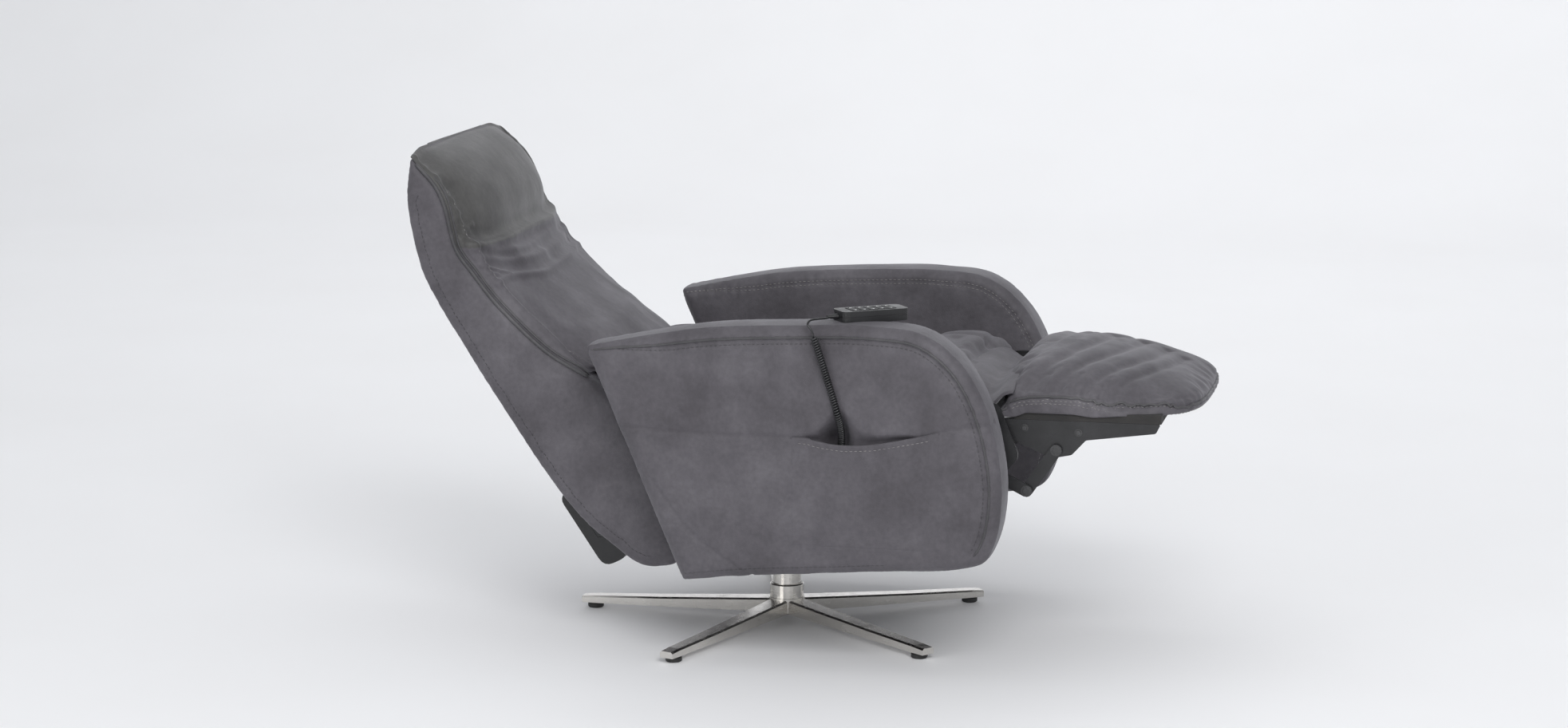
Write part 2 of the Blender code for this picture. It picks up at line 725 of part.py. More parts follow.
def along_x_plane(name, outline, slot, centre_x, angle, origin, material, group):
    """A flat yoke plate whose outline is drawn along and across a sloping rod."""
    def placed(loop):
        return [plus(origin, turned_by(spot, angle)) for spot in loop]

    half = YOKE_THICKNESS / 2
    return prism(name, placed(outline), centre_x - half, centre_x + half, material, group,
                 holes=[placed(slot)])


def make_rod(name, origin, angle, length, centre_x, steel, group):
    """A rod and its slotted yoke. The origin is the middle of the slot."""
    outline = rounded([(-YOKE_HALF_WIDTH, -YOKE_HALF_LENGTH, 0.006),
                       (YOKE_HALF_WIDTH, -YOKE_HALF_LENGTH, 0.006),
                       (YOKE_HALF_WIDTH, YOKE_HALF_LENGTH, 0.006),
                       (-YOKE_HALF_WIDTH, YOKE_HALF_LENGTH, 0.006)])
    slot = rounded([(-YOKE_SLOT_HALF_WIDTH, -YOKE_SLOT_HALF, 0.0074),
                    (YOKE_SLOT_HALF_WIDTH, -YOKE_SLOT_HALF, 0.0074),
                    (YOKE_SLOT_HALF_WIDTH, YOKE_SLOT_HALF, 0.0074),
                    (-YOKE_SLOT_HALF_WIDTH, YOKE_SLOT_HALF, 0.0074)])
    yoke = along_x_plane(name, outline, slot, centre_x, angle, origin, steel, group)
    shape = bmesh.new()
    bmesh.ops.create_cone(shape, cap_ends=True, segments=14, radius1=ROD_RADIUS,
                          radius2=ROD_RADIUS, depth=length)
    middle = plus(origin, turned_by((-(YOKE_HALF_WIDTH - 0.003 + length / 2), 0), angle))
    slope = Matrix.Rotation(-angle, 4, "X")
    turn = Matrix.Rotation(math.pi / 2, 4, "X")
    place = Matrix.Translation((centre_x, SWIVEL_Y - middle[0], middle[1]))
    bmesh.ops.transform(shape, matrix=place @ slope @ turn, verts=shape.verts[:])
    combine(yoke, add_mesh(name + "_shaft", shape, None, group), "UNION")
    return yoke


def sleeve_outline(origin, angle, reach, half_height, drop, motor_reach):
    """An actuator's side outline: a sleeve with its motor below."""
    start, end = reach
    outline = ((start, -half_height), (motor_reach[0], -half_height), (motor_reach[0], -drop),
               (motor_reach[1], -drop), (motor_reach[1], -half_height), (end, -half_height),
               (end, half_height), (start, half_height))
    return [plus(origin, turned_by(spot, angle)) for spot in outline]


def make_actuator(name, origin, angle, reach, motor_reach, drop, open_end, centre_x, plastic,
                  group):
    """The sleeve and motor of an actuator, bored for its rod from its open end."""
    outline = sleeve_outline(origin, angle, reach, SLEEVE_RADIUS, drop, motor_reach)
    body = prism(name, outline, centre_x - SLEEVE_RADIUS, centre_x + SLEEVE_RADIUS,
                 plastic, group)
    shape = bmesh.new()
    bmesh.ops.create_cone(shape, cap_ends=True, segments=14, radius1=ROD_RADIUS + 0.0015,
                          radius2=ROD_RADIUS + 0.0015, depth=reach[1] - reach[0])
    centre = (reach[0] + reach[1]) / 2 + open_end * SLEEVE_END
    middle = plus(origin, turned_by((centre, 0), angle))
    slope = Matrix.Rotation(-angle, 4, "X")
    turn = Matrix.Rotation(math.pi / 2, 4, "X")
    place = Matrix.Translation((centre_x, SWIVEL_Y - middle[0], middle[1]))
    bmesh.ops.transform(shape, matrix=place @ slope @ turn, verts=shape.verts[:])
    combine(body, add_mesh(name + "_bore", shape, None, group), "DIFFERENCE")
    return body


def make_drives(seat, leg_rod, back_rod, steel, plastic, crossbar_top):
    swing = math.radians(88)
    drop = LEVER_LENGTH * (1 + math.cos(swing / 2)) / 2
    pin = plus(LEGREST_PIVOT, turned_by((LEVER_LENGTH, 0), LEVER_START))
    axis_point = plus(LEGREST_PIVOT, turned_by((0, -drop), SEAT_TILT))
    along = turned_by((pin[0] - axis_point[0], pin[1] - axis_point[1]), -SEAT_TILT)[0]
    leg_origin = plus(axis_point, turned_by((along, 0), SEAT_TILT))
    make_rod("leg_actuator_rod", leg_origin, SEAT_TILT, 0.205, LEVER_PLACE, steel, leg_rod)
    make_actuator("leg_actuator", leg_origin, SEAT_TILT, (-0.440, -0.130), (-0.430, -0.370),
                  0.070, 1, LEVER_PLACE, plastic, seat)
    back_pin = plus(BACK_PIVOT, turned_by((0, -BACK_LEVER_LENGTH), BACK_LEVER_START))
    drop = BACK_LEVER_LENGTH * (1 + math.cos(math.radians(22))) / 2
    back_origin = (back_pin[0], BACK_PIVOT[1] - drop)
    make_rod("back_actuator_rod", back_origin, math.pi, 0.165, BACK_LEVER_PLACE, steel, back_rod)
    make_actuator("back_actuator", back_origin, 0, (0.085, 0.350), (0.275, 0.340), 0.040, -1,
                  BACK_LEVER_PLACE, plastic, seat)
    block("control_box", (0.120, 0.215), (0.000, 0.150),
          (crossbar_top + TOUCH_GAP, crossbar_top + 0.038), plastic, seat)


# --- legrest ---------------------------------------------------------------------------------


def make_legrest(group, links, struts, steel, wood, leather):
    pivot = LEGREST_PIVOT
    strut_pivot = plus(pivot, STRUT_PIVOT_OFFSET)
    lower_end = plus(strut_pivot, LOWER_PIVOT_OFFSET)
    link_pivot = plus(pivot, LOWER_PIVOT_OFFSET)
    board_top = LEGREST_BOARD_BOTTOM + LEGREST_BOARD_THICKNESS
    block("legrest_board", (-BRACKET_X - PLATE, BRACKET_X + PLATE),
          LEGREST_BOARD_REACH, (LEGREST_BOARD_BOTTOM, board_top), wood, group)
    rest = board_top + TOUCH_GAP
    crown = rest + LEGREST_CROWN
    under_line = [(LEGREST_REAR, rest), (LEGREST_NOSE - 0.030, rest)]
    face = [(LEGREST_REAR, crown - 0.010), (LEGREST_REAR + 0.040, crown),
            (LEGREST_NOSE - 0.240, crown), (LEGREST_NOSE - 0.160, crown - 0.010),
            (LEGREST_NOSE - 0.080, crown - 0.027), (LEGREST_NOSE - 0.020, crown - 0.052),
            (LEGREST_NOSE, crown - 0.066)]
    crowned_pad("legrest_cushion", under_line, smooth_line(face), LEGREST_HALF_WIDTH, leather,
                group, nose=0.075)
    under = LEGREST_BOARD_BOTTOM - TOUCH_GAP
    for side, word in ((-1, "right"), (1, "left")):
        corners = (
            (pivot[0] - 0.014, pivot[1] - 0.016, 0.012),
            (pivot[0] + 0.076, strut_pivot[1] + 0.004, 0.012),
            (strut_pivot[0] - 0.008, strut_pivot[1] - 0.015, 0.012),
            (strut_pivot[0] + 0.026, strut_pivot[1] - 0.008, 0.010),
            (strut_pivot[0] + 0.050, under - 0.032, 0.006),
            (strut_pivot[0] + 0.168, under - 0.016, 0.006),
            (strut_pivot[0] + 0.176, under, 0.003),
            (pivot[0] + 0.016, under, 0.003),
            (pivot[0] + 0.014, pivot[1] + 0.014, 0.012),
            (pivot[0] - 0.014, pivot[1] + 0.014, 0.012),
        )
        bracket = sided_prism(
            f"legrest_bracket_{word}", rounded(corners), side, BRACKET_X, BRACKET_X + PLATE,
            steel, group, holes=[circle(pivot, PIN_RADIUS + HOLE_GAP)])
        stub_pin(bracket, strut_pivot, side, BRACKET_X + PLATE / 2, STRUT_X + PLATE - TOUCH_GAP,
                 PIN_RADIUS)
        strut = sided_prism(
            f"strut_link_{word}", bar_outline(strut_pivot, lower_end, BAR_HALF_WIDTH), side,
            STRUT_X, STRUT_X + PLATE, steel, struts,
            holes=[circle(strut_pivot, PIN_RADIUS + HOLE_GAP)])
        stub_pin(strut, lower_end, side, STRUT_X + PLATE / 2, LOWER_LINK_X + PLATE - TOUCH_GAP,
                 PIN_RADIUS)
        sided_prism(
            f"lower_link_{word}", bar_outline(link_pivot, lower_end, BAR_HALF_WIDTH), side,
            LOWER_LINK_X, LOWER_LINK_X + PLATE, steel, links,
            holes=[circle(link_pivot, PIN_RADIUS + HOLE_GAP),
                   circle(lower_end, PIN_RADIUS + 2 * HOLE_GAP)])
    reach = BRACKET_X - TOUCH_GAP
    tube = cross_rod("legrest_tube", pivot, -reach, reach, TUBE_RADIUS, steel, group)
    pin = plus(pivot, turned_by((LEVER_LENGTH, 0), LEVER_START))
    add_lever(tube, pivot, pin, LEVER_PLACE)


def add_lever(tube, pivot, pin, place):
    """Welds a lever and its drive pin to a torque tube, beside the yoke at a place."""
    half = YOKE_THICKNESS / 2
    inner = place + half + 0.004
    outer = inner + 0.006
    lever = prism(tube.name + "_lever", bar_outline(pivot, pin, LEVER_HALF_WIDTH), inner, outer,
                  None, tube.parent)
    combine(tube, lever, "UNION")
    helper = cross_rod(tube.name + "_drive_pin", pin, place - half, inner + 0.003,
                       LEVER_PIN_RADIUS, None, tube.parent, segments=12)
    combine(tube, helper, "UNION")


# --- back and headrest -----------------------------------------------------------------------


def from_back(points):
    return [(BACK_PIVOT[0] + BACK_SCALE * forward, BACK_PIVOT[1] + BACK_SCALE * up)
            for forward, up in points]


def back_lines():
    rear = smooth_line(from_back(BACK_REAR))
    seam = smooth_line(from_back(BACK_SEAM), steps=2)
    welt = smooth_line(from_back(BACK_WELT))
    front = smooth_line(from_back(BACK_FRONT))
    return rear, seam, welt, front


def neck_pivot():
    return from_back([NECK_OFFSET])[0]


def battery_foot():
    return from_back([BATTERY_FOOT_OFFSET])[0]


def below_neck(outline):
    neck = neck_pivot()
    low = plus(neck, turned_by((0, -NECK_GAP), NECK_CUT_DIRECTION))
    return clipped(outline, low, NECK_CUT_DIRECTION + math.pi)


def above_neck(outline):
    neck = neck_pivot()
    high = plus(neck, turned_by((0, NECK_GAP), NECK_CUT_DIRECTION))
    kept = clipped(outline, high, NECK_CUT_DIRECTION + NECK_FRONT_RELIEF)
    return clipped(kept, high, NECK_CUT_DIRECTION - NECK_REAR_RELIEF)


def make_tray(name, outline, rear, material, group):
    """A shell with a rear wall and two side walls, open to the front and at the neck."""
    tray = prism(name, outline, -BACK_HALF_WIDTH, BACK_HALF_WIDTH, material, group)
    inner = offset_line(rear, BACK_WALL)
    ahead = max(spot[0] for spot in rear) + 0.3
    top = max(spot[1] for spot in rear) + 0.05
    hollow = inner + [(ahead, inner[-1][1]), (ahead, top), (inner[0][0], top)]
    half = BACK_HALF_WIDTH - BACK_SIDE_WALL
    cutter = prism(name + "_hollow", hollow, -half, half, None, group)
    combine(tray, cutter, "DIFFERENCE")
    return tray


def make_back(group, head, steel, leather):
    rear, seam, welt, front = back_lines()
    side_outline = rear + seam + welt[1:-1]
    make_tray("back_shell", below_neck(side_outline), rear, leather, group)
    make_tray("headrest_shell", above_neck(side_outline), rear, leather, head)
    base = offset_line(welt, -0.0006 * BACK_SCALE)[::-1]
    face = [tuple(b + (f - b) * BACK_FULLNESS for b, f in zip(*pair))
            for pair in zip(resampled(base, PAD_STEPS), resampled(front, PAD_STEPS))]
    half = BACK_HALF_WIDTH - BACK_CUSHION_INSET
    neck = neck_pivot()
    low = plus(neck, turned_by((0, -NECK_GAP), NECK_CUT_DIRECTION))
    high = plus(neck, turned_by((0, NECK_GAP), NECK_CUT_DIRECTION))
    cuts = (
        ("back_cushion", group, ((low, NECK_CUT_DIRECTION),)),
        ("headrest_cushion", head, ((high, NECK_CUT_DIRECTION + NECK_FRONT_RELIEF + math.pi),
                                    (high, NECK_CUT_DIRECTION - NECK_REAR_RELIEF + math.pi))),
    )
    for name, mover, sides in cuts:
        pad = crowned_pad(name, base, face, half, leather, mover)
        for index, (point, direction) in enumerate(sides):
            around = [plus(point, spot) for spot in ((-1, -1), (1, -1), (1, 1), (-1, 1))]
            cutter = prism(f"{name}_neck_cut_{index + 1}", clipped(around, point, direction),
                           -half - 0.02, half + 0.02, None, mover)
            combine(pad, cutter, "DIFFERENCE")

    line = smooth_line(from_back(POST_LINE))
    outline = offset_line(line, 0.013) + offset_line(line, -0.013)[::-1]
    for side, word in ((-1, "right"), (1, "left")):
        post = sided_prism(f"back_post_{word}", outline, side, BRACKET_X, BRACKET_X + PLATE,
                           steel, group)
        for pivot in (BACK_PIVOT, neck):
            boss = sided_prism(f"{post.name}_boss", circle(pivot, BOSS_RADIUS), side, BRACKET_X,
                               BRACKET_X + PLATE, None, group)
            combine(post, boss, "UNION")
        hole = sided_prism(f"{post.name}_hole", circle(BACK_PIVOT, PIN_RADIUS + HOLE_GAP), side,
                           BRACKET_X - 0.003, BRACKET_X + PLATE + 0.003, None, group)
        combine(post, hole, "DIFFERENCE")
        stub_pin(post, neck, side, HEAD_ARM_X + TOUCH_GAP, BRACKET_X + PLATE / 2, PIN_RADIUS)
    reach = BRACKET_X - TOUCH_GAP
    tube = cross_rod("back_tube", BACK_PIVOT, -reach, reach, TUBE_RADIUS, steel, group)
    pin = plus(BACK_PIVOT, turned_by((0, -BACK_LEVER_LENGTH), BACK_LEVER_START))
    add_lever(tube, BACK_PIVOT, pin, BACK_LEVER_PLACE)
    upper = line[int(len(line) * 0.72)]
    cross_rod("back_crossbar", upper, -reach, reach, TUBE_RADIUS, steel, group)
    make_head_plate(neck, welt, head, steel)


def make_head_plate(neck, welt, head, steel):
    """The steel plate behind the head cushion and its two hinge arms."""
    behind = offset_line(welt, 0.002)
    deeper = offset_line(welt, 0.002 + HEADREST_PLATE)
    start = next(i for i, spot in enumerate(behind) if spot[1] > neck[1] + 0.045 * BACK_SCALE)
    end = len(welt) - 4
    outline = behind[start:end] + deeper[start:end][::-1]
    reach = HEAD_ARM_X + PLATE
    plate = prism("headrest_plate", outline, -reach, reach, steel, head)
    aim = offset_line(welt, 0.016)[start + 3]
    for side in (-1, 1):
        arm = sided_prism("headrest_arm_shape", bar_outline(neck, aim, 0.012), side,
                          HEAD_ARM_X, HEAD_ARM_X + PLATE, None, head)
        combine(plate, arm, "UNION")
        hole = sided_prism("headrest_arm_hole", circle(neck, PIN_RADIUS + HOLE_GAP), side,
                           HEAD_ARM_X - 0.003, HEAD_ARM_X + PLATE + 0.003, None, head)
        combine(plate, hole, "DIFFERENCE")


def make_battery(back, pack, latch, plastic, dark):
    rear = back_lines()[0]
    foot = battery_foot()
    slope = BATTERY_SLOPE

    def placed(spots):
        return [plus(foot, turned_by(spot, slope)) for spot in spots]

    # In this frame the first value runs down the wall and the second stands out from it.
    wall = offset_line(rear, -0.0006)
    inner = []
    for spot in wall:
        away = (spot[0] - foot[0], spot[1] - foot[1])
        along, out = turned_by(away, -slope)
        if DOCK_ALONG[0] < along < DOCK_ALONG[1]:
            inner.append((along, out))
    outer = [(inner[-1][0], -DOCK_DEPTH), (inner[0][0], -DOCK_DEPTH)]
    prism("battery_dock", placed(inner + outer), -BATTERY_HALF_WIDTH * 0.8,
          BATTERY_HALF_WIDTH * 0.8, plastic, back)
    near = -DOCK_DEPTH - TOUCH_GAP
    far = near - BATTERY_DEPTH
    low, high = BATTERY_ALONG
    outline = rounded([(low, near, 0.010), (low + 0.012, far, 0.018), (high - 0.006, far, 0.022),
                       (high, near, 0.012)])
    body = prism("battery_pack", placed(outline), -BATTERY_HALF_WIDTH, BATTERY_HALF_WIDTH,
                 plastic, pack)
    key = [(0.020, near - 0.008), (0.028, near - 0.026), (0.062, near - 0.026),
           (0.070, near - 0.008)]
    grown = [(0.0192, near - 0.0074), (0.0276, near - 0.0268), (0.0624, near - 0.0268),
             (0.0708, near - 0.0074)]
    well = prism("battery_latch_well", placed(grown), -BATTERY_HALF_WIDTH - 0.005,
                 -BATTERY_HALF_WIDTH + 0.006, None, pack)
    combine(body, well, "DIFFERENCE")
    prism("battery_latch", placed(key), -BATTERY_HALF_WIDTH - 0.0005,
          -BATTERY_HALF_WIDTH + 0.006 - LATCH_TRAVEL - 0.0005, dark, latch)


# --- handset and its curly lead --------------------------------------------------------------


def handset_place(along, across, up):
    """A world point from a place on the handset: along it, across it, and above its underside."""
    inset, forward = HANDSET_CENTRE
    x = inset - ARM_OUTER
    rest = arm_top_at(forward) + 0.0008
    heading = HANDSET_TURN
    return Vector((x + along * math.sin(heading) + across * math.cos(heading),
                   SWIVEL_Y - forward - along * math.cos(heading) + across * math.sin(heading),
                   rest + up))


def handset_slab(name, length, width, low, high, corner, material, group, tip=(0.0, 0.0)):
    """A flat slab with round corners, standing on the handset's own axes."""
    half = length / 2
    side = width / 2
    outline = rounded([(-half + tip[0], -side + tip[1], corner), (half + tip[0], -side + tip[1],
                      corner), (half + tip[0], side + tip[1], corner),
                      (-half + tip[0], side + tip[1], corner)])
    shape = bmesh.new()
    rings = [[shape.verts.new(handset_place(along, across, up)) for along, across in outline]
             for up in (low, high)]
    for index in range(len(outline)):
        shape.faces.new((rings[0][index - 1], rings[0][index], rings[1][index],
                         rings[1][index - 1]))
    shape.faces.new(rings[0][::-1])
    shape.faces.new(rings[1])
    return add_mesh(name, shape, material, group)


def make_handset(group, rockers, plastic, dark):
    split = HANDSET_LOWER
    top = HANDSET_LOWER + HANDSET_UPPER
    handset_slab("handset_lower_shell", HANDSET_LENGTH, HANDSET_WIDTH, 0, split,
                 HANDSET_CORNER, plastic, group)
    upper = handset_slab("handset_upper_shell", HANDSET_LENGTH, HANDSET_WIDTH,
                         split + TOUCH_GAP, top, HANDSET_CORNER, plastic, group)
    floor = top - ROCKER_WELL_DEPTH
    row = ROCKER_PITCH * (ROCKER_COUNT - 1) + ROCKER_LENGTH
    well = handset_slab("rocker_well", row + 2 * ROCKER_GAP, ROCKER_WIDTH + 2 * ROCKER_GAP, floor,
                        top + 0.01, 0.002, None, group)
    combine(upper, well, "DIFFERENCE")
    key_top = top + ROCKER_PROUD
    for index, rocker in enumerate(rockers):
        offset = (index - (ROCKER_COUNT - 1) / 2) * ROCKER_PITCH
        handset_slab(f"handset_rocker_{index + 1}", ROCKER_LENGTH, ROCKER_WIDTH,
                     key_top - ROCKER_THICKNESS, key_top, 0.002, dark, rocker, tip=(offset, 0))
    shape = bmesh.new()
    sides = 12
    rings = []
    start = -HANDSET_LENGTH / 2 - TOUCH_GAP
    for reach, radius in ((0.0, 0.0052), (-0.006, 0.0046), (-0.019, 0.0026)):
        rings.append([
            shape.verts.new(handset_place(
                start + reach, radius * math.cos(FULL_TURN * step / sides),
                split + radius * math.sin(FULL_TURN * step / sides)))
            for step in range(sides)
        ])
    for inner, outer in zip(rings, rings[1:]):
        for step in range(sides):
            shape.faces.new((inner[step - 1], inner[step], outer[step], outer[step - 1]))
    shape.faces.new(rings[0])
    shape.faces.new(rings[-1])
    add_mesh("handset_strain_relief", shape, dark, group)


def cord_route(route):
    """The route placed on the arm: its upper part stretches or shortens with the arm's height."""
    rise = ARM_HEIGHT - ROUTE_ARM_HEIGHT
    top_forward = CURL_ROUTE[-1][1]
    found = []
    for beyond, forward, up in route:
        share = min(1, max(0, (up - POCKET_CEILING) / (ROUTE_BEND - POCKET_CEILING)))
        if 0 < share < 1:
            forward += (forward - top_forward) * rise / (ROUTE_BEND - POCKET_CEILING)
        found.append((-ARM_OUTER - beyond, forward, up + share * rise))
    return found


def make_cord(group, dark):
    curl = cord_route(CURL_ROUTE)
    across, forward, up = curl[0]
    centre = Vector((across, SWIVEL_Y - forward, POCKET_FLOOR + TOUCH_GAP))
    turned("cord_grommet",
           ((0, 0), (GROMMET_RADIUS, 0), (GROMMET_RADIUS, GROMMET_HEIGHT * 0.6),
            (GROMMET_RADIUS * 0.7, GROMMET_HEIGHT), (0, GROMMET_HEIGHT)),
           centre, dark, group, segments=14)
    tube_along("curly_cord", smooth_line(curl, steps=4), CURL_RADIUS, dark, group)
    tube_along("cord_lead", smooth_line(cord_route(LEAD_ROUTE), steps=4), CORD_RADIUS, dark, group)


# --- the whole chair -------------------------------------------------------------------------


def main():
    clear_scene()
    leather = finish("grey_nubuck_leather", (0.125, 0.12, 0.13), 0.75, 0.0)
    polished = finish("brushed_steel", (0.62, 0.62, 0.63), 0.28, 1.0)
    black_steel = finish("black_painted_steel", (0.03, 0.03, 0.032), 0.45, 0.4)
    zinc = finish("zinc_plated_steel", (0.45, 0.45, 0.46), 0.42, 0.9)
    wood = finish("birch_plywood", (0.42, 0.30, 0.18), 0.7, 0.0)
    plastic = finish("black_plastic", (0.025, 0.025, 0.027), 0.5, 0.0)
    rubber = finish("black_rubber", (0.02, 0.02, 0.02), 0.8, 0.0)

    base = make_group("base_group", None, 0, 0, 0)
    seat = make_group("seat_group", base, 0, 0, SWIVEL_PLATE_BOTTOM)
    legrest = make_group("legrest_group", seat, 0, *LEGREST_PIVOT)
    links = make_group("lower_link_group", seat, 0, *plus(LEGREST_PIVOT, LOWER_PIVOT_OFFSET))
    struts = make_group("strut_link_group", legrest, 0, *plus(LEGREST_PIVOT, STRUT_PIVOT_OFFSET))
    back = make_group("back_group", seat, 0, *BACK_PIVOT)
    head = make_group("headrest_group", back, 0, *neck_pivot())
    leg_rod = make_group("leg_rod_group", seat, LEVER_PLACE, *LEGREST_PIVOT)
    back_rod = make_group("back_rod_group", seat, BACK_LEVER_PLACE, *BACK_PIVOT)
    pack = make_group("battery_group", back, 0, *battery_foot())
    latch = make_group("battery_latch_group", pack, -BATTERY_HALF_WIDTH, *battery_foot())

    make_base(base, polished, rubber)
    crossbar_top = make_swivel(seat, zinc)
    for side, word in ((-1, "right"), (1, "left")):
        make_side_plate(side, word, seat, black_steel)
    make_seat(seat, wood, leather)
    make_arms(seat, leather, black_steel)
    make_drives(seat, leg_rod, back_rod, zinc, plastic, crossbar_top)
    make_legrest(legrest, links, struts, black_steel, wood, leather)
    make_back(back, head, black_steel, leather)
    make_battery(back, pack, latch, plastic, plastic)

    rest = handset_place(0, 0, 0)
    handset = make_group("handset_group", seat, rest.x, SWIVEL_Y - rest.y, rest.z)
    key_height = HANDSET_LOWER + HANDSET_UPPER + ROCKER_PROUD - ROCKER_THICKNESS
    rockers = []
    for index in range(ROCKER_COUNT):
        offset = (index - (ROCKER_COUNT - 1) / 2) * ROCKER_PITCH
        spot = handset_place(offset, 0, key_height)
        rockers.append(make_group(f"rocker_group_{index + 1}", handset, spot.x,
                                  SWIVEL_Y - spot.y, spot.z))
    make_handset(handset, rockers, plastic, rubber)
    make_cord(seat, rubber)


main()
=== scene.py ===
import math

import bmesh
import bpy
import numpy as np
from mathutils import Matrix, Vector, kdtree, noise
from mathutils.bvhtree import BVHTree


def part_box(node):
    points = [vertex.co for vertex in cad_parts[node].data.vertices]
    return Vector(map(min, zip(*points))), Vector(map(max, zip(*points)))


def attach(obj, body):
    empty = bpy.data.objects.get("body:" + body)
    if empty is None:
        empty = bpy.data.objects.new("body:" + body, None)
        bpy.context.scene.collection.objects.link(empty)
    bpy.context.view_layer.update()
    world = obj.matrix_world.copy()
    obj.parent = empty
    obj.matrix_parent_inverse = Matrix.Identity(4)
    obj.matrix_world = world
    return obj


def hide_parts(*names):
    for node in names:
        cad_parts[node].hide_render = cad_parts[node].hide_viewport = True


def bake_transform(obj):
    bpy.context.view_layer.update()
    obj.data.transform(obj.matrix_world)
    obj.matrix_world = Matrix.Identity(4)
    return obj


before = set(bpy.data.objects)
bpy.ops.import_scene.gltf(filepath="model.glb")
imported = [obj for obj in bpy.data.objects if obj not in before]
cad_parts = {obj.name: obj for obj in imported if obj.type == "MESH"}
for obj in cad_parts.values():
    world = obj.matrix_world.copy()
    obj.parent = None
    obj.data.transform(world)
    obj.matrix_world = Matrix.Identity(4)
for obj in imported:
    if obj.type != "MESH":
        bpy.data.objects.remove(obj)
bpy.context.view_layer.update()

# Places are across, forward of the swivel and up, in metres. The chair faces world -Y.
SWIVEL_Y = 0.073
# Side places, forward and up.
BACK_PIVOT = (-0.181, 0.413)
NECK = (-0.553, 0.665)
LEGREST_PIVOT = (0.395, 0.445)
LINK_PIVOT = (0.346, 0.374)
STRUT_PIVOT = (0.523, 0.382)
LOWER_PIN = (0.474, 0.311)
BRACKET_BOLTS = {"rear": (0.468, 0.418), "front": (0.56, 0.413)}
# Distances from the middle plane.
ARM_INNER = 0.283
ARM_OUTER = 0.3775
SHELL_HALF = 0.272
PAD_HALF = 0.2655
PLATE_FACE = 0.2685
LINK_FACE = 0.2625
STRUT_FACE = 0.2565
BRACKET_FACE = 0.2505
# Where the body leather ends and the head's begins, and the lift that keeps threads off the leather.
HEAD_SEAM_UP = 0.697
THREAD_LIFT = 0.0003


def at(across, forward, up):
    return (across, SWIVEL_Y - forward, up)


def side_view(points):
    """Each point's forward and up."""
    return np.stack([SWIVEL_Y - points[:, 1], points[:, 2]], axis=1)


def linked(obj):
    bpy.context.scene.collection.objects.link(obj)
    return obj


# ---- camera
camera_data = bpy.data.cameras.new("camera")
camera_data.lens = 82.44
camera_data.sensor_width = 36.0
camera = bpy.data.objects.new("camera", camera_data)
camera.location = (-6.176, -1.292, 1.569)
camera.rotation_euler = Vector((0.9618, 0.2134, -0.1716)).to_track_quat("-Z", "Y").to_euler()
linked(camera)
bpy.context.scene.camera = camera


# ---- materials
class Look:
    """A material in the making: its shader, and the nodes that feed it."""

    def __init__(self, name, metallic=0.0):
        self.material = bpy.data.materials.new(name)
        self.material.use_nodes = True
        self.nodes = self.material.node_tree.nodes
        self.shader = self.nodes["Principled BSDF"]
        self.shade("Metallic", metallic)
        self.where = self.node("TexCoord").outputs["Object"]

    def put(self, node, name, value):
        """Gives a node's input a value, or the output that feeds it."""
        if isinstance(value, bpy.types.NodeSocket):
            self.material.node_tree.links.new(value, node.inputs[name])
        else:
            node.inputs[name].default_value = value

    def node(self, kind, **inputs):
        made = self.nodes.new("ShaderNode" + kind)
        for name, value in inputs.items():
            self.put(made, name.replace("_", " "), value)
        return made

    def shade(self, name, value):
        self.put(self.shader, name, value)

    def noise(self, scale, detail, rough=0.55, source=None):
        source = self.where if source is None else source
        made = self.node("TexNoise", Scale=scale, Detail=detail, Roughness=rough, Vector=source)
        return made.outputs["Fac"]

    def ramp(self, source, *stops):
        made = self.node("ValToRGB", Fac=source)
        elements = made.color_ramp.elements
        for element, (place, colour) in zip(elements, (stops[0], stops[-1])):
            element.position = place
            element.color = (*colour, 1)
        for place, colour in stops[1:-1]:
            elements.new(place).color = (*colour, 1)
        return made.outputs["Color"]

    def mapped(self, source, low, high, out_low, out_high):
        limits = {"From_Min": low, "From_Max": high, "To_Min": out_low, "To_Max": out_high}
        return self.node("MapRange", Value=source, **limits).outputs["Result"]

    def bump(self, height, strength, distance, **before):
        made = self.node("Bump", Height=height, Strength=strength, Distance=distance, **before)
        return made.outputs["Normal"]


def leather(name, dark, middle, light, rough_low, rough_high, sheen):
    look = Look(name)
    broad = look.noise(9.0, 5.0, 0.6)
    fine = look.noise(120.0, 3.0)
    mix = look.node("Mix")
    mix.data_type = "RGBA"
    mix.blend_type = "MULTIPLY"
    look.put(mix, "Factor", 0.3)
    look.put(mix, "A", look.ramp(broad, (0.3, dark), (0.52, middle), (0.74, light)))
    look.put(mix, "B", look.ramp(fine, (0.25, (0.55, 0.55, 0.55)), (0.7, (1.25, 1.25, 1.25))))
    look.shade("Base Color", mix.outputs["Result"])
    look.shade("Roughness", look.mapped(broad, 0.3, 0.75, rough_high, rough_low))
    grain = look.node("TexVoronoi", Scale=620.0, Vector=look.where)
    grain_bump = look.bump(grain.outputs["Distance"], 0.22, 0.0008)
    look.shade("Normal", look.bump(look.noise(34.0, 4.0, 0.62), 0.22, 0.004, Normal=grain_bump))
    look.shade("Sheen Weight", sheen)
    look.shade("Sheen Roughness", 0.45)
    look.shade("Sheen Tint", (0.75, 0.75, 0.8, 1))
    look.shade("Specular IOR Level", 0.38)
    return look.material


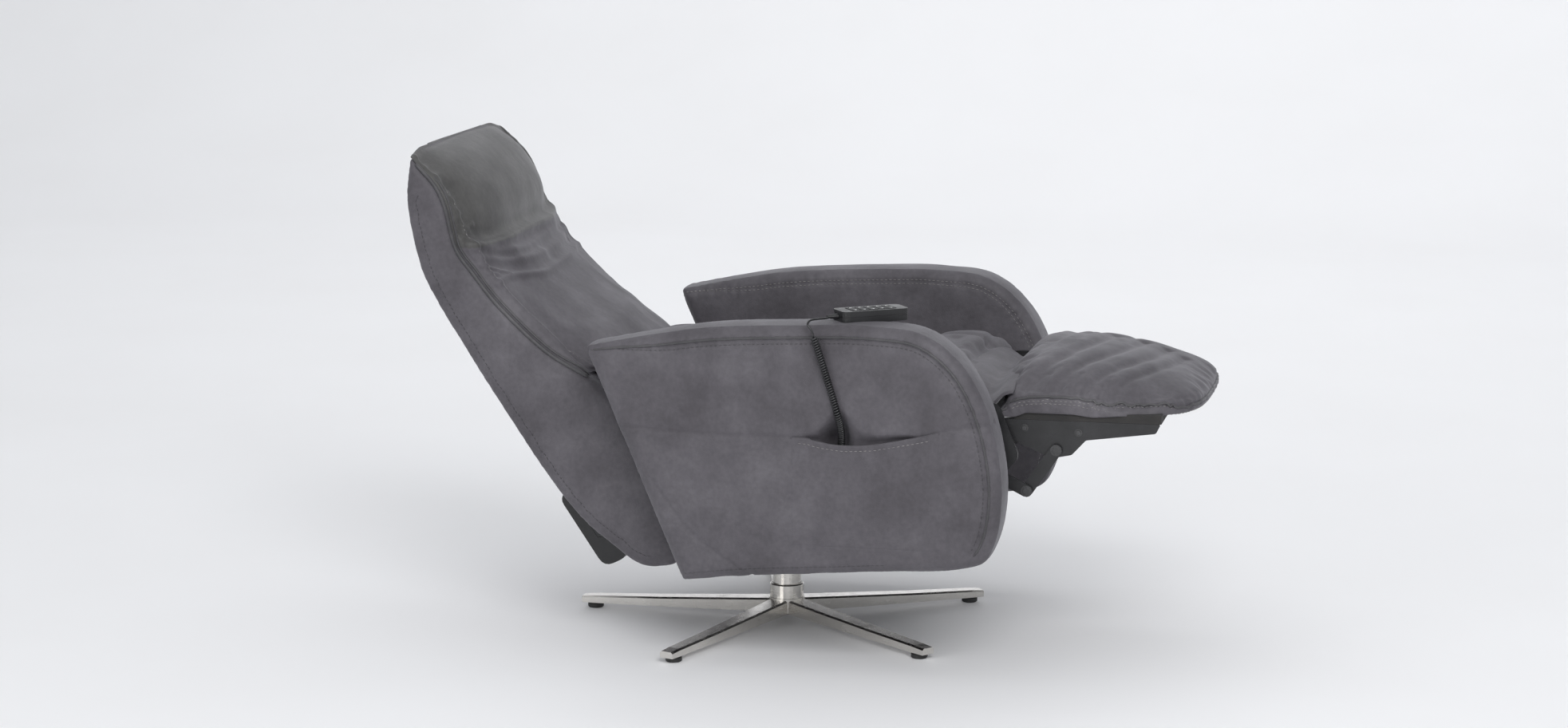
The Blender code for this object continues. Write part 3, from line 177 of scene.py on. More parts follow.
def brushed_steel(name, colour, rough_low, rough_high, stretch):
    look = Look(name, metallic=1.0)
    stretched = look.node("Mapping", Scale=stretch, Vector=look.where).outputs["Vector"]
    lines = look.noise(60.0, 4.0, source=stretched)
    bright = tuple(min(1.0, value * 1.12) for value in colour)
    look.shade("Base Color", look.ramp(look.noise(14.0, 3.0), (0.3, colour), (0.7, bright)))
    look.shade("Roughness", look.mapped(lines, 0.3, 0.7, rough_low, rough_high))
    look.shade("Normal", look.bump(lines, 0.05, 0.0004))
    return look.material


def moulded(name, dark, light, rough_low, rough_high, grain=700.0, depth=0.18):
    look = Look(name)
    cloud = look.noise(22.0, 4.0)
    look.shade("Base Color", look.ramp(cloud, (0.3, dark), (0.7, light)))
    look.shade("Roughness", look.mapped(cloud, 0.3, 0.7, rough_low, rough_high))
    look.shade("Normal", look.bump(look.noise(grain, 2.0), depth, 0.0006))
    return look.material


GREY = leather("grey_leather_look", (0.062, 0.057, 0.065), (0.088, 0.082, 0.093), (0.117, 0.11, 0.123),
               0.52, 0.68, 0.22)
HEAD = leather("head_leather_look", (0.048, 0.0465, 0.0455), (0.068, 0.0665, 0.0645), (0.094, 0.0915, 0.089),
               0.4, 0.54, 0.16)
PIPING = leather("piping_look", (0.045, 0.044, 0.047), (0.066, 0.064, 0.068), (0.095, 0.092, 0.097),
                 0.42, 0.55, 0.15)
THREAD = moulded("thread_look", (0.2, 0.19, 0.19), (0.3, 0.29, 0.29), 0.6, 0.8)
STEEL = brushed_steel("polished_steel_look", (0.66, 0.64, 0.61), 0.16, 0.3, (1.0, 1.0, 8.0))
ROD = brushed_steel("bright_rod_look", (0.62, 0.62, 0.62), 0.18, 0.3, (8.0, 1.0, 1.0))
FRAME_BLACK = moulded("black_steel_look", (0.012, 0.012, 0.013), (0.026, 0.026, 0.028), 0.32, 0.48)
BLACK = moulded("black_plastic_look", (0.01, 0.01, 0.011), (0.024, 0.024, 0.026), 0.34, 0.52)
GLIDE = moulded("glide_look", (0.01, 0.01, 0.01), (0.022, 0.022, 0.022), 0.5, 0.65)
BOARD = moulded("board_look", (0.014, 0.013, 0.013), (0.034, 0.032, 0.031), 0.7, 0.85, 300.0, 0.4)
HANDSET = moulded("handset_look", (0.012, 0.012, 0.013), (0.022, 0.022, 0.024), 0.28, 0.42)
KEYS = moulded("key_look", (0.02, 0.02, 0.021), (0.04, 0.04, 0.042), 0.5, 0.62)
CORD = moulded("cord_look", (0.01, 0.01, 0.011), (0.022, 0.022, 0.024), 0.26, 0.38)
MARKS = moulded("mark_look", (0.7, 0.7, 0.7), (0.86, 0.86, 0.86), 0.5, 0.6)
BOLT = moulded("bolt_look", (0.03, 0.03, 0.031), (0.06, 0.06, 0.062), 0.25, 0.38)


# ---- lines
def curve_through(keys, closed=False, parts=16):
    """A smooth line through the keys, as many points."""
    keys = np.array(keys, float)
    count = len(keys)
    found = []
    spans = count if closed else count - 1
    for index in range(spans):
        if closed:
            around = [keys[(index + step) % count] for step in (-1, 0, 1, 2)]
        else:
            around = [keys[min(max(index + step, 0), count - 1)] for step in (-1, 0, 1, 2)]
        before, start, end, after = around
        for part in range(parts):
            t = part / parts
            square = (2 * before - 5 * start + 4 * end - after) * t * t
            cube = (3 * start - before - 3 * end + after) * t ** 3
            found.append(0.5 * (2 * start + (end - before) * t + square + cube))
    if not closed:
        found.append(keys[-1])
    return np.array(found)


def spaced(line, step=None, count=None, closed=False):
    """The same line with its points an even distance apart."""
    line = np.array(line, float)
    if closed:
        line = np.vstack([line, line[:1]])
    lengths = np.concatenate([[0], np.cumsum(np.linalg.norm(np.diff(line, axis=0), axis=1))])
    if count is None:
        count = max(3, int(round(lengths[-1] / step)) + 1)
    wanted = np.linspace(0, lengths[-1], count)
    found = np.stack([np.interp(wanted, lengths, line[:, axis]) for axis in range(line.shape[1])], axis=1)
    return found[:-1] if closed else found


def length_of(line):
    return float(np.linalg.norm(np.diff(np.array(line), axis=0), axis=1).sum())


def even_curve(keys, step=0.006):
    return spaced(curve_through(keys), step=step)


NEAR_STEP = 0.0015
NEAR_REACH = 0.09
OUT_OF_REACH = 1.0


def near(points, line):
    """How far each point is from the line, and how far along the line its nearest place is."""
    line = spaced(line, step=NEAR_STEP)
    width = line.shape[1]
    tree = kdtree.KDTree(len(line))
    for index, place in enumerate(line):
        tree.insert((*place, *([0.0] * (3 - width))), index)
    tree.balance()
    low = line.min(0) - NEAR_REACH
    high = line.max(0) + NEAR_REACH
    chosen = np.all((points >= low) & (points <= high), axis=1)
    away = np.full(len(points), OUT_OF_REACH)
    along = np.zeros(len(points))
    for index in np.nonzero(chosen)[0]:
        _, hit, gap = tree.find((*points[index], *([0.0] * (3 - width))))
        away[index] = gap
        along[index] = hit * NEAR_STEP
    return away, along


def crease(points, line, depth, width, pucker=0.0, spacing=0.02, reach=0.012, turn=0.0):
    """A groove along a line, with small gathers across it."""
    away, along = near(points, line)
    amount = -depth * np.exp(-(away / width) ** 2)
    if pucker:
        wave = np.sin(2 * math.pi * along / spacing + 2.3 * np.sin(along * 37.0 + turn) + turn)
        wave += 0.6 * np.sin(2 * math.pi * along / (spacing * 0.63) + turn * 2.1)
        amount += pucker * wave * np.exp(-(away / reach) ** 2)
    return amount


def rumple(points, scale, stretch=(1, 1, 1), turn=0.0):
    """Soft random unevenness, about -1 to 1."""
    placed = points * np.array(stretch) * scale + turn
    return np.array([noise.noise(Vector(place)) for place in placed])


# ---- meshes
def give(obj, material):
    obj.data.materials.clear()
    obj.data.materials.append(material)
    return obj


def mesh_object(name, points, faces, material, smooth=True):
    mesh = bpy.data.meshes.new(name)
    mesh.from_pydata([tuple(map(float, place)) for place in points], [], faces)
    mesh.validate()
    mesh.update()
    if smooth:
        mesh.shade_smooth()
    return give(linked(bpy.data.objects.new(name, mesh)), material)


def read_all(mesh, what):
    found = np.empty(len(mesh.vertices) * 3)
    mesh.vertices.foreach_get(what, found)
    return found.reshape(-1, 3)


def points_of(obj):
    return read_all(obj.data, "co")


def set_points(obj, points):
    obj.data.vertices.foreach_set("co", np.ascontiguousarray(points, float).ravel())
    obj.data.update()


def push_out(obj, amount):
    set_points(obj, points_of(obj) + read_all(obj.data, "normal") * np.asarray(amount)[:, None])


def settle(obj):
    """Replaces the mesh by what its modifiers make of it."""
    graph = bpy.context.evaluated_depsgraph_get()
    mesh = bpy.data.meshes.new_from_object(obj.evaluated_get(graph))
    obj.modifiers.clear()
    obj.data = mesh
    mesh.shade_smooth()


def modify(obj, kind, **values):
    modifier = obj.modifiers.new(kind.lower(), kind)
    for name, value in values.items():
        setattr(modifier, name, value)
    settle(obj)


def tidy_normals(obj, merge=0.0):
    """Turns every face outward, after merging points nearer than merge."""
    shape = bmesh.new()
    shape.from_mesh(obj.data)
    if merge:
        bmesh.ops.remove_doubles(shape, verts=shape.verts, dist=merge)
    bmesh.ops.recalc_face_normals(shape, faces=shape.faces)
    shape.to_mesh(obj.data)
    shape.free()


def tree_of(obj):
    mesh = obj.data
    mesh.calc_loop_triangles()
    corners = [tuple(triangle.vertices) for triangle in mesh.loop_triangles]
    return BVHTree.FromPolygons([tuple(place) for place in points_of(obj)], corners)


def laid_on(tree, line, lift, way=None):
    """The line moved to the nearest surface, or along a way to it, then lifted off. Gives the normals too."""
    found = []
    outward = []
    for place in line:
        hit = None
        if way is not None:
            hit, normal, _, _ = tree.ray_cast(Vector(place) - way * 0.3, way)
        if hit is None:
            hit, normal, _, _ = tree.find_nearest(Vector(place))
        found.append(np.array(hit) + np.array(normal) * lift)
        outward.append(np.array(normal))
    return np.array(found), np.array(outward)


def calmed(line, rounds=6):
    """The line with small steps smoothed away."""
    line = np.array(line, float)
    for _ in range(rounds):
        line[1:-1] = line[1:-1] * 0.5 + (line[:-2] + line[2:]) * 0.25
    return line


def closed_rings(rings):
    """Faces that join each ring of points to the next one and close both ends."""
    faces = [tuple(rings[0])[::-1], tuple(rings[-1])]
    for low, high in zip(rings, rings[1:]):
        for step in range(len(low)):
            after = (step + 1) % len(low)
            faces.append((low[step], low[after], high[after], high[step]))
    return faces


def tube(name, line, radius, material):
    sides = 8
    line = np.array(line, float)
    ahead = np.gradient(line, axis=0)
    ahead /= np.linalg.norm(ahead, axis=1)[:, None]
    side = np.cross(ahead[0], (0.31, 0.17, 0.93))
    points = []
    for index, place in enumerate(line):
        side = side - ahead[index] * np.dot(side, ahead[index])
        side = side / np.linalg.norm(side)
        other = np.cross(ahead[index], side)
        size = radius * 0.5 if index in (0, len(line) - 1) else radius
        for step in range(sides):
            angle = 2 * math.pi * step / sides
            points.append(place + size * (math.cos(angle) * side + math.sin(angle) * other))
    rings = [range(first, first + sides) for first in range(0, len(points), sides)]
    return mesh_object(name, points, closed_rings(rings), material)


def stitches(name, line, outward, material=THREAD, length=0.0052, gap=0.003, thick=0.00065):
    """A row of short threads lying on a surface."""
    line = np.array(line)
    outward = np.array(outward)
    lengths = np.concatenate([[0], np.cumsum(np.linalg.norm(np.diff(line, axis=0), axis=1))])
    points = []
    faces = []
    start = 0.002
    while start + length < lengths[-1]:
        ends = [np.array([np.interp(place, lengths, line[:, axis]) for axis in range(3)])
                for place in (start, start + length)]
        normal = np.array([np.interp(start, lengths, outward[:, axis]) for axis in range(3)])
        ahead = (ends[1] - ends[0]) / max(1e-9, np.linalg.norm(ends[1] - ends[0]))
        side = np.cross(ahead, normal)
        side /= max(1e-9, np.linalg.norm(side))
        normal = np.cross(side, ahead)
        middle = (ends[0] + ends[1]) / 2 + normal * thick * 0.3
        first = len(points)
        for place, share in ((ends[0], 0.45), (middle, 1.0), (ends[1], 0.45)):
            for across, up in ((1, 0), (0, 1), (-1, 0), (0, -1)):
                points.append(place + (side * across + normal * up) * thick * share)
        faces += closed_rings([range(first + ring, first + ring + 4) for ring in (0, 4, 8)])
        start += length + gap
    return mesh_object(name, points, faces, material)


CROWN = 0.003


def slab(name, outline, low, high, radius, bulge, material, voxel):
    """A cushioned panel: an outline in the side plane, given a width and soft rounded edges."""
    outline = np.array(outline)
    count = len(outline)
    points = [at(across, *place) for across in (low, high) for place in outline]
    obj = mesh_object(name, points, closed_rings([range(count), range(count, 2 * count)]), material)
    tidy_normals(obj)
    modify(obj, "REMESH", mode="VOXEL", voxel_size=voxel)
    found = points_of(obj)
    away, _ = near(side_view(found), np.vstack([outline, outline[:1]]))
    away = np.where(away >= OUT_OF_REACH, 0.5, away)
    centre = (low + high) / 2
    half = (high - low) / 2
    inside = np.clip(away, 0, radius)
    reach = half - radius + np.sqrt(np.maximum(0, radius ** 2 - (radius - inside) ** 2))
    reach = reach + bulge * (1 - np.exp(-np.maximum(0, away - radius) / 0.055))
    offset = found[:, 0] - centre
    on_face = np.abs(offset) > half - voxel * 1.2
    placed = np.clip(offset, -reach, reach)
    placed = np.where(on_face, np.sign(offset) * reach, placed)
    found[:, 0] = centre + placed
    set_points(obj, found)
    modify(obj, "SMOOTH", factor=0.5, iterations=3)
    across = (points_of(obj)[:, 0] - centre) / half
    rim = away < radius * 0.5
    push_out(obj, np.where(rim, CROWN * (1 - np.clip(across ** 2, 0, 1)), 0))
    return obj


SHARE = ((0, 1), (0.35, 0.97), (0.6, 0.87), (0.8, 0.68), (0.9, 0.5), (0.96, 0.34), (0.99, 0.17),
         (1.0, 0.0))
COLUMN_SPREAD = math.pi / 2 * 0.93


def pad(name, base, face, half, step, material, table=SHARE, plan=None, tops=None):
    """A crowned cushion between a base line and a front line in the side plane.

    The table gives how full it is across, plan moves its front back at the sides, and tops says how far a row
    takes the squarer section of the head.
    """
    face = np.vstack([base[:1], face, base[-1:]])
    rows = max(8, int(length_of(face) / step))
    base = spaced(base, count=rows)
    face = spaced(face, count=rows)
    columns = np.sin(np.linspace(-1, 1, int(2 * half / step)) * COLUMN_SPREAD) / math.sin(COLUMN_SPREAD)
    points = []
    for side in (0, 1):
        for place in columns:
            share = np.interp(abs(place), *zip(*table))
            for row, (lower, upper) in enumerate(zip(base, face)):
                grown = share
                if tops is not None:
                    mix = tops(row / (rows - 1))
                    grown = grown * (1 - mix) + (1 - abs(place) ** 3.4) ** 0.62 * mix
                forward, up = lower + (upper - lower) * grown * side
                if plan is not None:
                    forward = plan(place * half, forward)
                points.append(at(place * half, forward, up))
    faces = []
    across = len(columns)
    for side in (0, 1):
        for column in range(across - 1):
            for row in range(rows - 1):
                first = side * across * rows + column * rows + row
                ring = (first, first + 1, first + 1 + rows, first + rows)
                faces.append(ring if side else ring[::-1])
    obj = mesh_object(name, points, faces, material)
    tidy_normals(obj, merge=0.0002)
    obj.data.shade_smooth()
    return obj


def sheet_faces(count, height, front):
    """The faces of a thin closed sheet of two layers of count x height points. The front layer faces out."""
    faces = []
    for layer in (0, 1):
        for column in range(count - 1):
            for row in range(height - 1):
                first = layer * count * height + column * height + row
                ring = (first, first + height, first + height + 1, first + 1)
                faces.append(ring if layer == front else ring[::-1])
    rim = list(range(height))
    rim += [column * height + height - 1 for column in range(1, count)]
    rim += [(count - 1) * height + row for row in range(height - 2, -1, -1)]
    rim += [column * height for column in range(count - 2, 0, -1)]
    second = count * height
    for place, after in zip(rim, rim[1:] + rim[:1]):
        wall = (place, after, after + second, place + second)
        faces.append(wall if front == 0 else (wall[0], *wall[:0:-1]))
    return faces


FRAMES = 20


def puffed(obj, cap, slack, pinned):
    """Cloth simulation: the cover filled from inside, held where pinned is true."""
    before = points_of(obj)
    group = obj.vertex_groups.new(name="held")
    group.add([int(index) for index in np.nonzero(pinned(before))[0]], 1.0, "REPLACE")
    modifier = obj.modifiers.new("cover", "CLOTH")
    settings = modifier.settings
    cloth = {
        "quality": 4, "mass": 0.25, "tension_stiffness": 12, "compression_stiffness": 6, "shear_stiffness": 4,
        "bending_stiffness": 0.35, "tension_damping": 6, "compression_damping": 6, "air_damping": 2,
        "shrink_min": -slack, "use_pressure": True, "uniform_pressure_force": 4.0,
        "vertex_group_mass": "held",
    }
    for name, value in cloth.items():
        setattr(settings, name, value)
    settings.effector_weights.gravity = 0
    modifier.collision_settings.use_collision = False
    modifier.point_cache.frame_start = 1
    modifier.point_cache.frame_end = FRAMES
    for number in range(1, FRAMES + 1):
        bpy.context.scene.frame_set(number)
    graph = bpy.context.evaluated_depsgraph_get()
    found = bpy.data.meshes.new_from_object(obj.evaluated_get(graph))
    moved = read_all(found, "co") - before
    bpy.data.meshes.remove(found)
    obj.modifiers.clear()
    obj.vertex_groups.clear()
    bpy.context.scene.frame_set(1)
    size = np.linalg.norm(moved, axis=1)
    keep = cap * np.tanh(size / cap) / np.maximum(size, 1e-9)
    set_points(obj, before + moved * keep[:, None])
    obj.data.shade_smooth()


# ---- handset cord
CURL_ROUTE = (
    (-0.35, 0.15, 0.244), (-0.35, 0.153, 0.28), (-0.35, 0.16, 0.325), (-0.35, 0.168, 0.365),
    (-0.356, 0.173, 0.398), (-0.372, 0.175, 0.427), (-0.3878, 0.172, 0.455), (-0.389, 0.164, 0.484),
    (-0.389, 0.155, 0.512), (-0.389, 0.146, 0.541), (-0.389, 0.138, 0.565), (-0.3888, 0.132, 0.584),
)
LEAD_ROUTE = (
    (-0.3887, 0.1316, 0.5855), (-0.3885, 0.127, 0.596), (-0.387, 0.121, 0.6045),
    (-0.379, 0.124, 0.6105), (-0.366, 0.133, 0.611), (-0.3545, 0.142, 0.6105),
    (-0.34735, 0.14705, 0.6105),
)
CABLE_RADIUS = 0.0018
COIL_RADIUS = 0.0047
COIL_PITCH = 0.0042
POINTS_PER_TURN = 14


def make_cord():
    path = even_curve([at(*place) for place in CURL_ROUTE], 0.001)
    lead = even_curve([at(*place) for place in LEAD_ROUTE], 0.002)
    turns = round(length_of(path) / COIL_PITCH)
    count = turns * POINTS_PER_TURN
    path = spaced(path, count=count + 1)
    ahead = np.gradient(path, axis=0)
    ahead /= np.linalg.norm(ahead, axis=1)[:, None]
    side = np.cross(ahead[0], (1.0, 0.0, 0.0))
    line = [tuple(path[0] + np.array((0, 0, -0.0005)))]
    for index in range(count + 1):
        side = side - ahead[index] * np.dot(side, ahead[index])
        side = side / np.linalg.norm(side)
        other = np.cross(ahead[index], side)
        angle = 2 * math.pi * turns * index / count
        ends = min(1.0, index / POINTS_PER_TURN, (count - index) / POINTS_PER_TURN)
        size = COIL_RADIUS * (0.25 + 0.75 * math.sin(ends * math.pi / 2))
        line.append(tuple(path[index] + size * (math.cos(angle) * side + math.sin(angle) * other)))
    line += [tuple(place) for place in lead[1:]]
    data = bpy.data.curves.new("handset_cord", "CURVE")
    data.dimensions = "3D"
    data.bevel_depth = CABLE_RADIUS
    data.bevel_resolution = 3
    data.use_fill_caps = True
    spline = data.splines.new("POLY")
    spline.points.add(len(line) - 1)
    for point, place in zip(spline.points, line):
        point.co = (*place, 1)
    spline.use_smooth = True
    obj = give(linked(bpy.data.objects.new("handset_cord", data)), CORD)
    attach(obj, "seat_unit")
    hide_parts("curly_cord", "cord_lead")


make_cord()


# ---- side outlines, forward and up
def scaled_arm(shape):
    return [(-0.268 + 0.715 * along, 0.152 + 0.448 * share) for along, share in shape]


ARM_EDGE = curve_through(scaled_arm((
    (0, 0.886), (0.27, 0.969), (0.56, 0.998), (0.69, 1.0), (0.813, 0.975), (0.908, 0.857), (0.971, 0.661),
    (1.0, 0.4), (0.978, 0.172), (0.912, 0.098), (0.674, 0.065), (0.403, 0.033), (0.235, 0.0))))


def from_back(points):
    return [(BACK_PIVOT[0] + forward, BACK_PIVOT[1] + up) for forward, up in points]


BACK_REAR = curve_through(from_back((
    (-0.435, 0.454), (-0.437, 0.399), (-0.436, 0.35), (-0.42, 0.271), (-0.4, 0.216), (-0.344, 0.122),
    (-0.245, -0.029), (-0.145, -0.166), (-0.067, -0.233), (-0.017, -0.264), (0.035, -0.262))))
BACK_SEAM = curve_through(from_back((
    (0.056, -0.245), (0.021, -0.163), (-0.009, -0.094), (-0.04, -0.03), (-0.062, 0.022), (-0.112, 0.066))))
BACK_WELT = curve_through(from_back((
    (-0.112, 0.066), (-0.188, 0.108), (-0.27, 0.182), (-0.319, 0.241), (-0.35, 0.285), (-0.368, 0.355),
    (-0.385, 0.392), (-0.411, 0.426), (-0.4345, 0.4535))))
BACK_FRONT = curve_through(from_back((
    (-0.404, 0.459), (-0.354, 0.439), (-0.309, 0.393), (-0.285, 0.35), (-0.274, 0.311), (-0.259, 0.287),
    (-0.226, 0.255), (-0.17, 0.215), (-0.112, 0.177), (-0.053, 0.139), (0.01, 0.096), (0.028, 0.066))))
POCKET_SEAM = curve_through((
    (-0.205, 0.415, 0.4145), (-0.035, 0.4096, 0.409), (0.105, 0.4106, 0.41), (0.13, 0.44, 0.406),
    (0.175, 0.468, 0.4), (0.23, 0.469, 0.403), (0.3, 0.448, 0.417), (0.35, 0.4296, 0.429),
    (0.437, 0.4456, 0.445)))
REAR_PANEL_SEAM = curve_through((
    (-0.172, 0.35), (-0.147, 0.317), (-0.12, 0.28), (-0.095, 0.248), (-0.06, 0.218), (-0.02, 0.19),
    (0.02, 0.166)))


def moved_in(line, distance):
    """The line moved to its left by a distance, which may change along it."""
    line = np.array(line, float)
    ahead = np.gradient(line, axis=0)
    ahead /= np.linalg.norm(ahead, axis=1)[:, None]
    return line + np.stack([-ahead[:, 1], ahead[:, 0]], axis=1) * np.asarray(distance)[..., None]


def smoothstep(low, high, value):
    t = np.clip((value - low) / (high - low), 0, 1)
    return t * t * (3 - 2 * t)


def side_line(line, across):
    return np.array([at(across, *place) for place in line])


def cast(tree, keys, from_front):
    """A line cast on a cushion. Its keys are across and up, or across and forward if cast from above."""
    if from_front:
        keys = [(across, 0, up) for across, up in keys]
        way = Vector((0, 1, 0))
    else:
        keys = [at(across, forward, 1.0) for across, forward in keys]
        way = Vector((0, 0, -1))
    hits = [tree.ray_cast(Vector(place) - way * 2.0, way)[0] for place in even_curve(keys)]
    return np.array([hit for hit in hits if hit is not None])


def folds_on(points, tree, folds, from_front=False):
    """What folds add to a surface. Each has its keys, its depth and its width."""
    return sum(crease(points, cast(tree, keys, from_front), depth, width) for keys, depth, width in folds)


# ---- arms
def arm_rim_line(depth):
    """The arm's outline from its rear top corner to its low front, moved in. It closes up at the rear."""
    line = spaced(ARM_EDGE, step=0.006)
    line = line[np.arange(len(line)) < len(line) * 0.665]
    share = smoothstep(0, 0.16, np.arange(len(line)) * 0.006)
    return moved_in(line, -(0.006 + (depth - 0.006) * share))


def make_arm(word, side, voxel):
    low, high = sorted((side * ARM_INNER, side * ARM_OUTER))
    obj = slab(f"arm_cover_{word}", spaced(ARM_EDGE, step=0.008), low, high, 0.017, 0.004, GREY, voxel)
    found = points_of(obj)
    flat = side_view(found)
    outer = found[:, 0] * side > 0.335
    inner = found[:, 0] * side < 0.305
    band = arm_rim_line(0.0235)
    amount = crease(flat, band, 0.003, 0.0036, 0.0006, 0.026, 0.012) * outer
    amount += crease(flat, REAR_PANEL_SEAM, 0.0024, 0.0032, 0.0006, 0.03, 0.014) * outer
    amount += crease(flat, POCKET_SEAM[:, [0, 2]], 0.0026, 0.0032, 0.0008, 0.034, 0.016, 1.0) * outer
    amount += crease(flat, arm_rim_line(0.02), 0.0018, 0.003, 0.0007, 0.024, 0.014, 2.0) * inner
    amount += rumple(found, 7.0, turn=3.0 + side) * 0.0012
    amount += rumple(found, 22.0, turn=9.0 + side) * 0.0005
    hem = np.exp(-np.maximum(0, flat[:, 1] - 0.17) / 0.03)
    amount += rumple(found, 14.0, (1, 1.6, 0.6), 5.0) * 0.0022 * hem
    corner = np.exp(-(((flat[:, 0] - 0.385) / 0.05) ** 2 + ((flat[:, 1] - 0.545) / 0.045) ** 2))
    amount += rumple(found, 60.0, (0.5, 1.0, 0.6), 1.0) * 0.0012 * corner
    push_out(obj, amount)
    pieces = []
    if side < 0:
        pieces.append(make_flap(tree_of(obj)))
        open_pocket(obj)
    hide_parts(f"arm_{word}", f"arm_outer_pad_{word}")
    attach(obj, "seat_unit")
    tree = tree_of(obj)

    def on_face(line, outside, lift=THREAD_LIFT):
        across, way = (0.39, -side) if outside else (0.27, side)
        return laid_on(tree, side_line(line, side * across), lift, Vector((way, 0, 0)))

    edge_line, _ = on_face(arm_rim_line(0.018), True, 0.0002)
    pieces.append(tube(f"arm_welt_{word}", calmed(spaced(edge_line, step=0.006)), 0.0022, PIPING))
    hem_line = moved_in(spaced(ARM_EDGE, step=0.006)[-60:], -0.012)
    pieces.append(stitches(f"arm_hem_thread_{word}", *on_face(hem_line, True, 0.0002), PIPING))
    pieces.append(stitches(f"arm_top_thread_{word}", *on_face(arm_rim_line(0.0285), True), PIPING))
    for number, depth in enumerate((0.017, 0.024), 1):
        pieces.append(stitches(f"arm_inner_thread_{number}_{word}", *on_face(arm_rim_line(depth), False)))
    for piece in pieces:
        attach(piece, "seat_unit")


def pocket_edge(forward):
    """How high the flap's edge is."""
    return np.interp(forward, POCKET_SEAM[:, 0], POCKET_SEAM[:, 2])


def open_pocket(obj):
    """Presses the arm's leather in behind the flap's edge, deepest where the lead goes in."""
    found = points_of(obj)
    forward, up = side_view(found).T
    edge = pocket_edge(forward)
    lift = 0.016 * np.sin(math.pi * np.clip((forward - 0.112) / 0.19, 0, 1)) ** 0.8
    top = edge + 0.003 + lift + 0.048 * np.exp(-((forward - 0.174) / 0.03) ** 2)
    share = smoothstep(0.108, 0.135, forward) * (1 - smoothstep(0.285, 0.31, forward))
    share = share * smoothstep(0.225, 0.245, up)
    share = share * (1 - smoothstep(0, 1, (up - edge) / np.maximum(0.006, top - edge)))
    target = -0.369 + 0.0315 * np.exp(-((forward - 0.166) / 0.023) ** 4)
    deep = found[:, 0] < target
    found[:, 0] = np.where(deep, found[:, 0] + (target - found[:, 0]) * share, found[:, 0])
    set_points(obj, found)


FLAP_REAR = 0.09
FLAP_FRONT = 0.345
FLAP_LOW = 0.222


def make_flap(arm):
    """The pocket's front: a thin leather sheet with a rolled hem, which stands a little away from the arm."""
    thick = 0.0026
    columns = np.linspace(FLAP_REAR, FLAP_FRONT, 86)
    rows = np.linspace(0, 1, 60)
    points = []
    for layer in (0, 1):
        for forward in columns:
            edge = pocket_edge(forward) + 0.0006
            middle = max(0.0, math.sin(math.pi * (forward - FLAP_REAR) / (FLAP_FRONT - FLAP_REAR))) ** 0.6
            for share in rows:
                up = FLAP_LOW + (edge - FLAP_LOW) * share
                outside = Vector(at(-0.5, forward, min(up, edge - 0.004)))
                hit, _, _, _ = arm.ray_cast(outside, Vector((1, 0, 0)))
                border = min(forward - FLAP_REAR, FLAP_FRONT - forward, (up - FLAP_LOW) * 1.5)
                out = -hit.x + 0.0004 - 0.0016 * math.exp(-max(0.0, border) / 0.0015)
                out += 0.0036 * middle * float(smoothstep(0.7, 1.0, share))
                hem = 0.0011 * math.exp(-((edge - up - 0.002) / 0.0018) ** 2)
                hem -= 0.0007 * math.exp(-((edge - up - 0.0065) / 0.0012) ** 2)
                out += hem * (1 if layer == 0 else -0.5)
                out += 0.0006 * noise.noise(Vector((forward * 22, up * 22, 4.0))) * middle
                points.append(at(-out + thick * layer, forward, up))
    obj = mesh_object("pocket_flap_cover", points, sheet_faces(len(columns), len(rows), 0), GREY)
    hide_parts("arm_pocket_flap")
    row = [at(-0.4, forward, pocket_edge(forward) - 0.0095) for forward in np.linspace(0.1, 0.335, 60)]
    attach(stitches("pocket_flap_thread", *laid_on(tree_of(obj), row, THREAD_LIFT)), "seat_unit")
    return obj


make_arm("right", -1, 0.0036)
make_arm("left", 1, 0.0046)


# ---- back and head
OFF_THE_PAD = np.array((0, -0.02, 0.02))


def over_the_neck(piece):
    """Lowers the head's top corners a little, then bakes the piece's placement into its points."""
    found = points_of(piece)
    corner = smoothstep(0.17, SHELL_HALF, np.abs(found[:, 0])) ** 2 * smoothstep(0.79, 0.87, found[:, 2])
    found[:, 2] -= 0.012 * corner
    found[:, 1] -= 0.004 * corner
    set_points(piece, found)
    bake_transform(piece)


